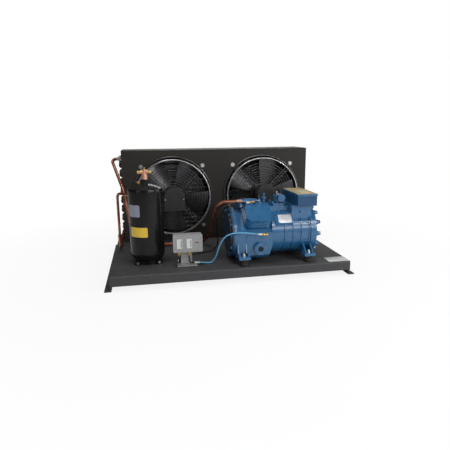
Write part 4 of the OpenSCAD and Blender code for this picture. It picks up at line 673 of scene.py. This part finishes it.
def make_hoses():
    blue_near = make_collar("blue_collar_switch", TAIL_RIGHT, BLUE_START)
    blue_far = make_collar("blue_collar_crankcase", LP_TURN, BLUE_END)
    black_near = make_collar("black_collar_switch", TAIL_LEFT, BLACK_START)
    black_far = make_collar("black_collar_valve", HP_TURN, BLACK_END)
    lp_end = make_hose_end("low_side_fitting", LP_SEAT, LP_REACH, LP_TURN)
    make_hose_end("high_side_fitting", HP_SEAT, HP_REACH, HP_TURN)
    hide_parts("hose_fittings")
    run_hose("blue_hose_run", BLUE_ROUTE, "hose_blue", "blue_hose")
    run_hose("black_hose_run", BLACK_ROUTE, "hose_black", "black_hose")


def make_switch_tails():
    """Flare nuts under the pressure switch and the bent tubes that leave them."""
    nuts, tubes = Form(), Form()
    for x, out in ((RIGHT_PORT_X, (TAIL_REACH, 0, 0)), (LEFT_PORT_X, (0, TAIL_REACH, 0))):
        nuts.nut(15, NUT_TOP - NUT_LOW, stand((x, PORT_Y, NUT_LOW)))
        nuts.lathe([(4.6, 0), (4.6, 3.6), (5.4, 4.4)], stand((x, PORT_Y, NUT_LOW - 4.0)), 20)
        corner = Vector((x, PORT_Y, HOSE_LOW))
        run = rounded_corner([(x, PORT_Y, NUT_LOW - 0.2), corner, corner + Vector(out)], TAIL_BEND)
        tubes.pipe(run, HOSE_R)
    nuts.done("flare_nuts", "brass_fitting", slot="brass_fitting", replaces=["switch_fittings"])
    tubes.done("switch_tails", "tag_black")


# Fin pack: thin waved sheets side by side, and a collar along each tube
FIN_PITCH, FIN_T = 3.2, 0.35
FIN_WAVE_FRONT = ((0, 0.0), (8, 0.7), (22, -0.5), (44, 0.6))
FIN_WAVE_BACK = ((-8, -0.6), (0, 0.0))


def make_fin_pack():
    low, high = box_mm("coil_fins")
    width = high.x - low.x
    wave = [(low.y + y, dx) for y, dx in FIN_WAVE_FRONT] + [(high.y + y, dx) for y, dx in FIN_WAVE_BACK]
    sheets = Form()
    count = int(width / FIN_PITCH)
    for i in range(count):
        x = low.x + (i + 0.5) * width / count
        outline = [(x + dx - FIN_T / 2, y) for y, dx in wave]
        outline += [(x + dx + FIN_T / 2, y) for y, dx in reversed(wave)]
        sheets.skin([[sheets.mesh.verts.new((*p, z)) for p in outline] for z in (low.z, high.z)])
    sheets.done("fin_sheets", "fin_sheet_dull_and_shade", slot="coil_fin", replaces=["coil_fins"])
    collars = Form()
    for row in range(TUBE_ROWS):
        for i in range(TUBES_IN_ROW):
            y = low.y + ROW_PITCH * (row + 0.5)
            z = COIL_BOTTOM + TUBE_PITCH * (i + 0.5 + (row % 2) / 2) - TUBE_PITCH / 4
            collars.lathe([(4.9, 0), (5.3, 0.5), (5.3, width - 1.0), (4.9, width - 0.5)],
                          stand((low.x + 0.25, y, z), (1, 0, 0)), 14)
    collars.done("fin_collars", "fin_collar", slot="coil_fin")


# Bare labels and plates
LABEL_T = 0.35
LABEL_LIFT = 0.05
LABEL_CORNER = 3.0
LABEL_COLUMNS, LABEL_ROWS = 18, 10


def receiver_label(name, look, angles, heights):
    """Sticker with round corners that lies on the receiver's shell."""
    form = Form()
    start, end = (math.radians(a) for a in angles)
    low, high = heights
    width = abs(end - start) * RECEIVER_R
    columns, rows = range(LABEL_COLUMNS), range(LABEL_ROWS)

    def sheet(r):
        lines = []
        for j in range(LABEL_ROWS + 1):
            v = j / LABEL_ROWS * (high - low)
            from_edge = min(v, high - low - v)
            inset = 0.0
            if from_edge <= LABEL_CORNER:
                inset = LABEL_CORNER - math.sqrt(LABEL_CORNER ** 2 - (LABEL_CORNER - from_edge) ** 2)
            line = []
            for i in range(LABEL_COLUMNS + 1):
                u = inset + (width - 2 * inset) * i / LABEL_COLUMNS
                angle = start + (end - start) * u / width
                line.append(form.mesh.verts.new((RECEIVER_AXIS[0] + r * math.cos(angle),
                                                 RECEIVER_AXIS[1] + r * math.sin(angle), low + v)))
            lines.append(line)
        return lines

    back, front = sheet(RECEIVER_R + LABEL_LIFT), sheet(RECEIVER_R + LABEL_T)
    for lines in (back, front):
        for a, b in zip(lines, lines[1:]):
            for i in columns:
                form.mesh.faces.new((a[i], a[i + 1], b[i + 1], b[i]))
    for j in rows:
        for i in (0, LABEL_COLUMNS):
            form.mesh.faces.new((back[j][i], back[j + 1][i], front[j + 1][i], front[j][i]))
    for j in (0, LABEL_ROWS):
        for i in columns:
            form.mesh.faces.new((back[j][i], back[j][i + 1], front[j][i + 1], front[j][i]))
    form.done(name, look)


def flat_label(name, look, size, at, thick, corner=2.0):
    form = Form()
    form.slab(*size, thick, corner, at)
    form.done(name, look)


def make_labels():
    receiver_label("receiver_label_grey", "label_grey", (202, 249), (293, 347))
    receiver_label("receiver_label_yellow", "label_yellow", (208, 272), (201, 246))
    flat_label("tray_label", "label_white", (98, 69), stand((494, -350.5, DECK_TOP + 0.05)), 0.3)
    low, top = box_mm("terminal_box_lid")
    x, y = (low.x + top.x) / 2, (low.y + top.y) / 2
    flat_label("lid_card", "card_tan", (top.x - low.x - 6, top.y - low.y - 6),
               stand((x, y, top.z + 0.1)), 0.5)
    flat_label("lid_card_paper", "card_pale", (46, 96), stand((x + 8, y - 28, top.z + 0.62)), 0.4)


# Small turned pieces as (radius, height) profiles
RIVET = [(1.9, -0.2), (1.9, 0.3), (1.4, 0.9), (0.5, 1.15)]
RING_SCREW = [(3.6, 0), (3.6, 1.8), (3.0, 2.4), (1.9, 2.4), (1.9, 1.0), (0.4, 1.0)]
CASE_SCREW = [(2.6, 0), (2.6, 0.7), (1.9, 1.2), (1.0, 1.2), (1.0, 0.3), (0.2, 0.3)]
MOTOR_SCREW = [(3.4, -0.5), (3.4, 1.2), (2.6, 2.2), (1.2, 2.2), (1.2, 1.0), (0.3, 1.0)]
SIGHT_PANE = [(11.8, 0), (11.8, 1.6), (10.8, 2.4), (5.0, 3.0), (0.6, 3.1)]
SIGHT_RIM = [(12.2, 0.4), (14.6, 0.4), (14.6, -1.0), (14.0, -1.4), (12.6, -1.4), (12.2, -1.0)]
SLEEVE = [(8.3, 0), (9.4, 0.4), (9.7, 1.5), (9.7, 25.2), (8.3, 26.6)]
BRAZE = [(8.2, 7.0), (9.9, 7.6), (10.2, 9.0), (9.9, 10.4), (8.2, 11.0)]
SIGHT_SCREW_RING_R = 22
PLATE_T = 1.6


def make_rating_plate():
    """Bare aluminium plate on the barrel's upper front, held by four drive rivets."""
    out = Vector((0, -math.cos(PLATE_TILT), math.sin(PLATE_TILT)))
    uphill = Vector((0, math.sin(PLATE_TILT), math.cos(PLATE_TILT)))
    middle = COMPRESSOR + Vector((244, 0, 0)) + out * 111.1 + uphill * 4.5
    at = stand(middle, out, (1, 0, 0))
    flat_label("rating_plate", "plate_aluminium", (64, 41), at, PLATE_T, 2.5)
    rivets = Form()
    for sx in (-1, 1):
        for sy in (-1, 1):
            rivets.lathe(RIVET, stand(at @ Vector((sx * 28.5, sy * 17, PLATE_T)), out), 14)
    rivets.done("rating_plate_rivets", "zinc_steel")


def make_discharge_sleeve():
    """Copper sleeve brazed over the pipe where it enters the discharge valve."""
    sleeve, braze = Form(), Form()
    near = box_mm("discharge_valve")[0].x
    at = stand((near - 27.0, COMPRESSOR.y, COMPRESSOR.z + 143), (1, 0, 0))
    sleeve.hoop(SLEEVE, at)
    braze.hoop(BRAZE, at)
    sleeve.done("discharge_sleeve", "valve_copper")
    braze.done("braze_ring", "braze_bright")


def make_sight_window():
    """Glass of the oil sight, its rim and the small screws of its ring."""
    low, high = box_mm("sight_glass")
    middle = Vector(((low.x + high.x) / 2, low.y, (low.z + high.z) / 2))
    glass, screws, rim = Form(), Form(), Form()
    glass.lathe(SIGHT_PANE, stand(middle + Vector((0, 6.0, 0)), OUTWARD), 32)
    glass.done("sight_window", "sight_dark")
    rim.hoop(SIGHT_RIM, stand(middle + Vector((0, 0.2, 0)), (0, 1, 0)))
    rim.done("sight_rim", "compressor_blue")
    for k in range(4):
        angle = math.radians(45 + 90 * k)
        spot = middle + Vector((SIGHT_SCREW_RING_R * math.cos(angle), 0.1,
                                SIGHT_SCREW_RING_R * math.sin(angle)))
        screws.lathe(RING_SCREW, stand(spot, OUTWARD), 18)
    screws.done("sight_screws", "compressor_blue")


def on_switch(x, z, proud=0.0):
    """A placement on the switch's front face, x and z from its middle."""
    return stand((SWITCH_X + x, SWITCH_FRONT - proud, SWITCH_MIDDLE_Z + z), OUTWARD, (1, 0, 0))


def make_switch_face():
    """Range marks beside the windows, cover screws and the reset button of the pressure switch."""
    marks, screws = Form(), Form()
    for x in (-37.5, 6):
        for k in range(9):
            marks.slab(3.0 if k % 2 == 0 else 1.8, 0.6, 0.25, 0.2, on_switch(x - 15.5, 4 * k - 16))
        marks.slab(2.2, 30, 0.4, 0.8, on_switch(x + 7.2, 0, 1.0))
    marks.done("switch_marks", "tag_black")
    for x, z in ((-58, 33), (58, 33), (-58, -33), (58, -33)):
        screws.lathe(CASE_SCREW, stand((SWITCH_X + x, SWITCH_FRONT, SWITCH_MIDDLE_Z + z), OUTWARD), 16)
    screws.done("switch_screws", "zinc_steel")
    flat_label("switch_reset", "tag_black", (15, 4), on_switch(41, 3), 1.0, 1.5)


def make_motor_screws():
    """Bright cover screws of the fan motors."""
    screws = Form()
    for node in ("fan_motor_left", "fan_motor_right"):
        low, high = box_mm(node)
        for side in (-48, 48):
            spot = ((low.x + high.x) / 2 + side, low.y, (low.z + high.z) / 2 + 4)
            screws.lathe(MOTOR_SCREW, stand(spot, OUTWARD), 18)
    screws.done("motor_screws", "zinc_steel")


make_hoses()
make_switch_tails()
dress_cad_nodes()
make_fin_pack()
make_labels()
make_rating_plate()
make_discharge_sleeve()
make_sight_window()
make_switch_face()
make_motor_screws()


# Studio: pale floor that turns to plain white further out, white backdrop and soft lamps
FLOOR_HALF = 12.0
FLOOR_DROP = 0.0005
WHITE_FROM, WHITE_FULL = 0.7, 1.6
WHITE_NEAR_SHARE = 0.86
WORLD_SOFT, WORLD_GLOSSY = 0.30, 0.05
LAMPS = (
    # name, place, aim, size, watts
    ("overhead_soft", (-0.35, -0.35, 2.4), (-0.1, -0.1, 0.2), (0.9, 0.7), 18),
    ("front_key", (1.05, -2.35, 1.75), (0.1, -0.3, 0.25), (1.1, 0.4), 13),
    ("barrel_strip", (1.05, -2.35, 0.86), (0.2, -0.3, 0.2), (1.3, 0.32), 8.5),
    ("left_fill", (-2.2, -1.9, 1.3), (0.0, 0.0, 0.3), (1.2, 1.4), 6),
    ("blade_light", (1.75, -1.9, 1.2), (0.0, 0.1, 0.3), (0.5, 0.5), 12),
    ("back_rim", (0.5, 2.7, 1.5), (0.0, 0.3, 0.3), (1.8, 1.0), 20),
    ("right_wall", (2.6, -0.2, 0.9), (0.2, 0.1, 0.3), (1.6, 1.6), 16),
)


def seen_directly(tree):
    """1 for camera and transmission rays."""
    path = place(tree, "ShaderNodeLightPath").outputs
    return maths(tree, "MAXIMUM", path["Is Camera Ray"], path["Is Transmission Ray"])


def make_floor():
    data = bpy.data.meshes.new("studio_floor")
    corners = [(sx * FLOOR_HALF, sy * FLOOR_HALF, 0) for sx, sy in ((-1, -1), (1, -1), (1, 1), (-1, 1))]
    data.from_pydata(corners, [], [(0, 1, 2, 3)])
    floor = bpy.data.objects.new("studio_floor", data)
    bpy.context.scene.collection.objects.link(floor)
    floor.location.z = -FLOOR_DROP
    tree, shader = new_material("studio_floor")
    shader.inputs["Base Color"].default_value = (0.86, 0.86, 0.86, 1)
    shader.inputs["Roughness"].default_value = 0.9
    shader.inputs["Specular IOR Level"].default_value = 0.1
    white = place(tree, "ShaderNodeEmission", {"Color": (1, 1, 1, 1), "Strength": 1.0})
    parts = split(tree, own_place(tree))
    far = spread(tree, distance(tree, parts["X"], parts["Y"]), WHITE_FROM, WHITE_FULL,
                 WHITE_NEAR_SHARE, 1.0)
    mixed = place(tree, "ShaderNodeMixShader", {0: maths(tree, "MULTIPLY", far, seen_directly(tree)),
                                                1: shader.outputs[0], 2: white.outputs[0]})
    tree.links.new(mixed.outputs[0], tree.nodes["Material Output"].inputs["Surface"])
    data.materials.append(MATERIALS["studio_floor"])


def make_world():
    world = bpy.data.worlds.new("studio")
    bpy.context.scene.world = world
    world.use_nodes = True
    tree = world.node_tree
    backdrop = tree.nodes["Background"]
    backdrop.inputs["Color"].default_value = (1, 1, 1, 1)
    glossy = place(tree, "ShaderNodeLightPath").outputs["Is Glossy Ray"]
    lit = spread(tree, glossy, 0, 1, WORLD_SOFT, WORLD_GLOSSY)
    strength = maths(tree, "MAXIMUM", lit, seen_directly(tree))
    tree.links.new(strength, backdrop.inputs["Strength"])


def make_lamp(name, spot, aim, size, power):
    data = bpy.data.lights.new(name, "AREA")
    data.shape = "RECTANGLE"
    data.size, data.size_y = size
    data.energy = power
    lamp = bpy.data.objects.new(name, data)
    bpy.context.scene.collection.objects.link(lamp)
    turned = (Vector(aim) - Vector(spot)).to_track_quat("-Z", "Y").to_matrix().to_4x4()
    lamp.matrix_world = Matrix.Translation(spot) @ turned


make_floor()
make_world()
for lamp in LAMPS:
    make_lamp(*lamp)
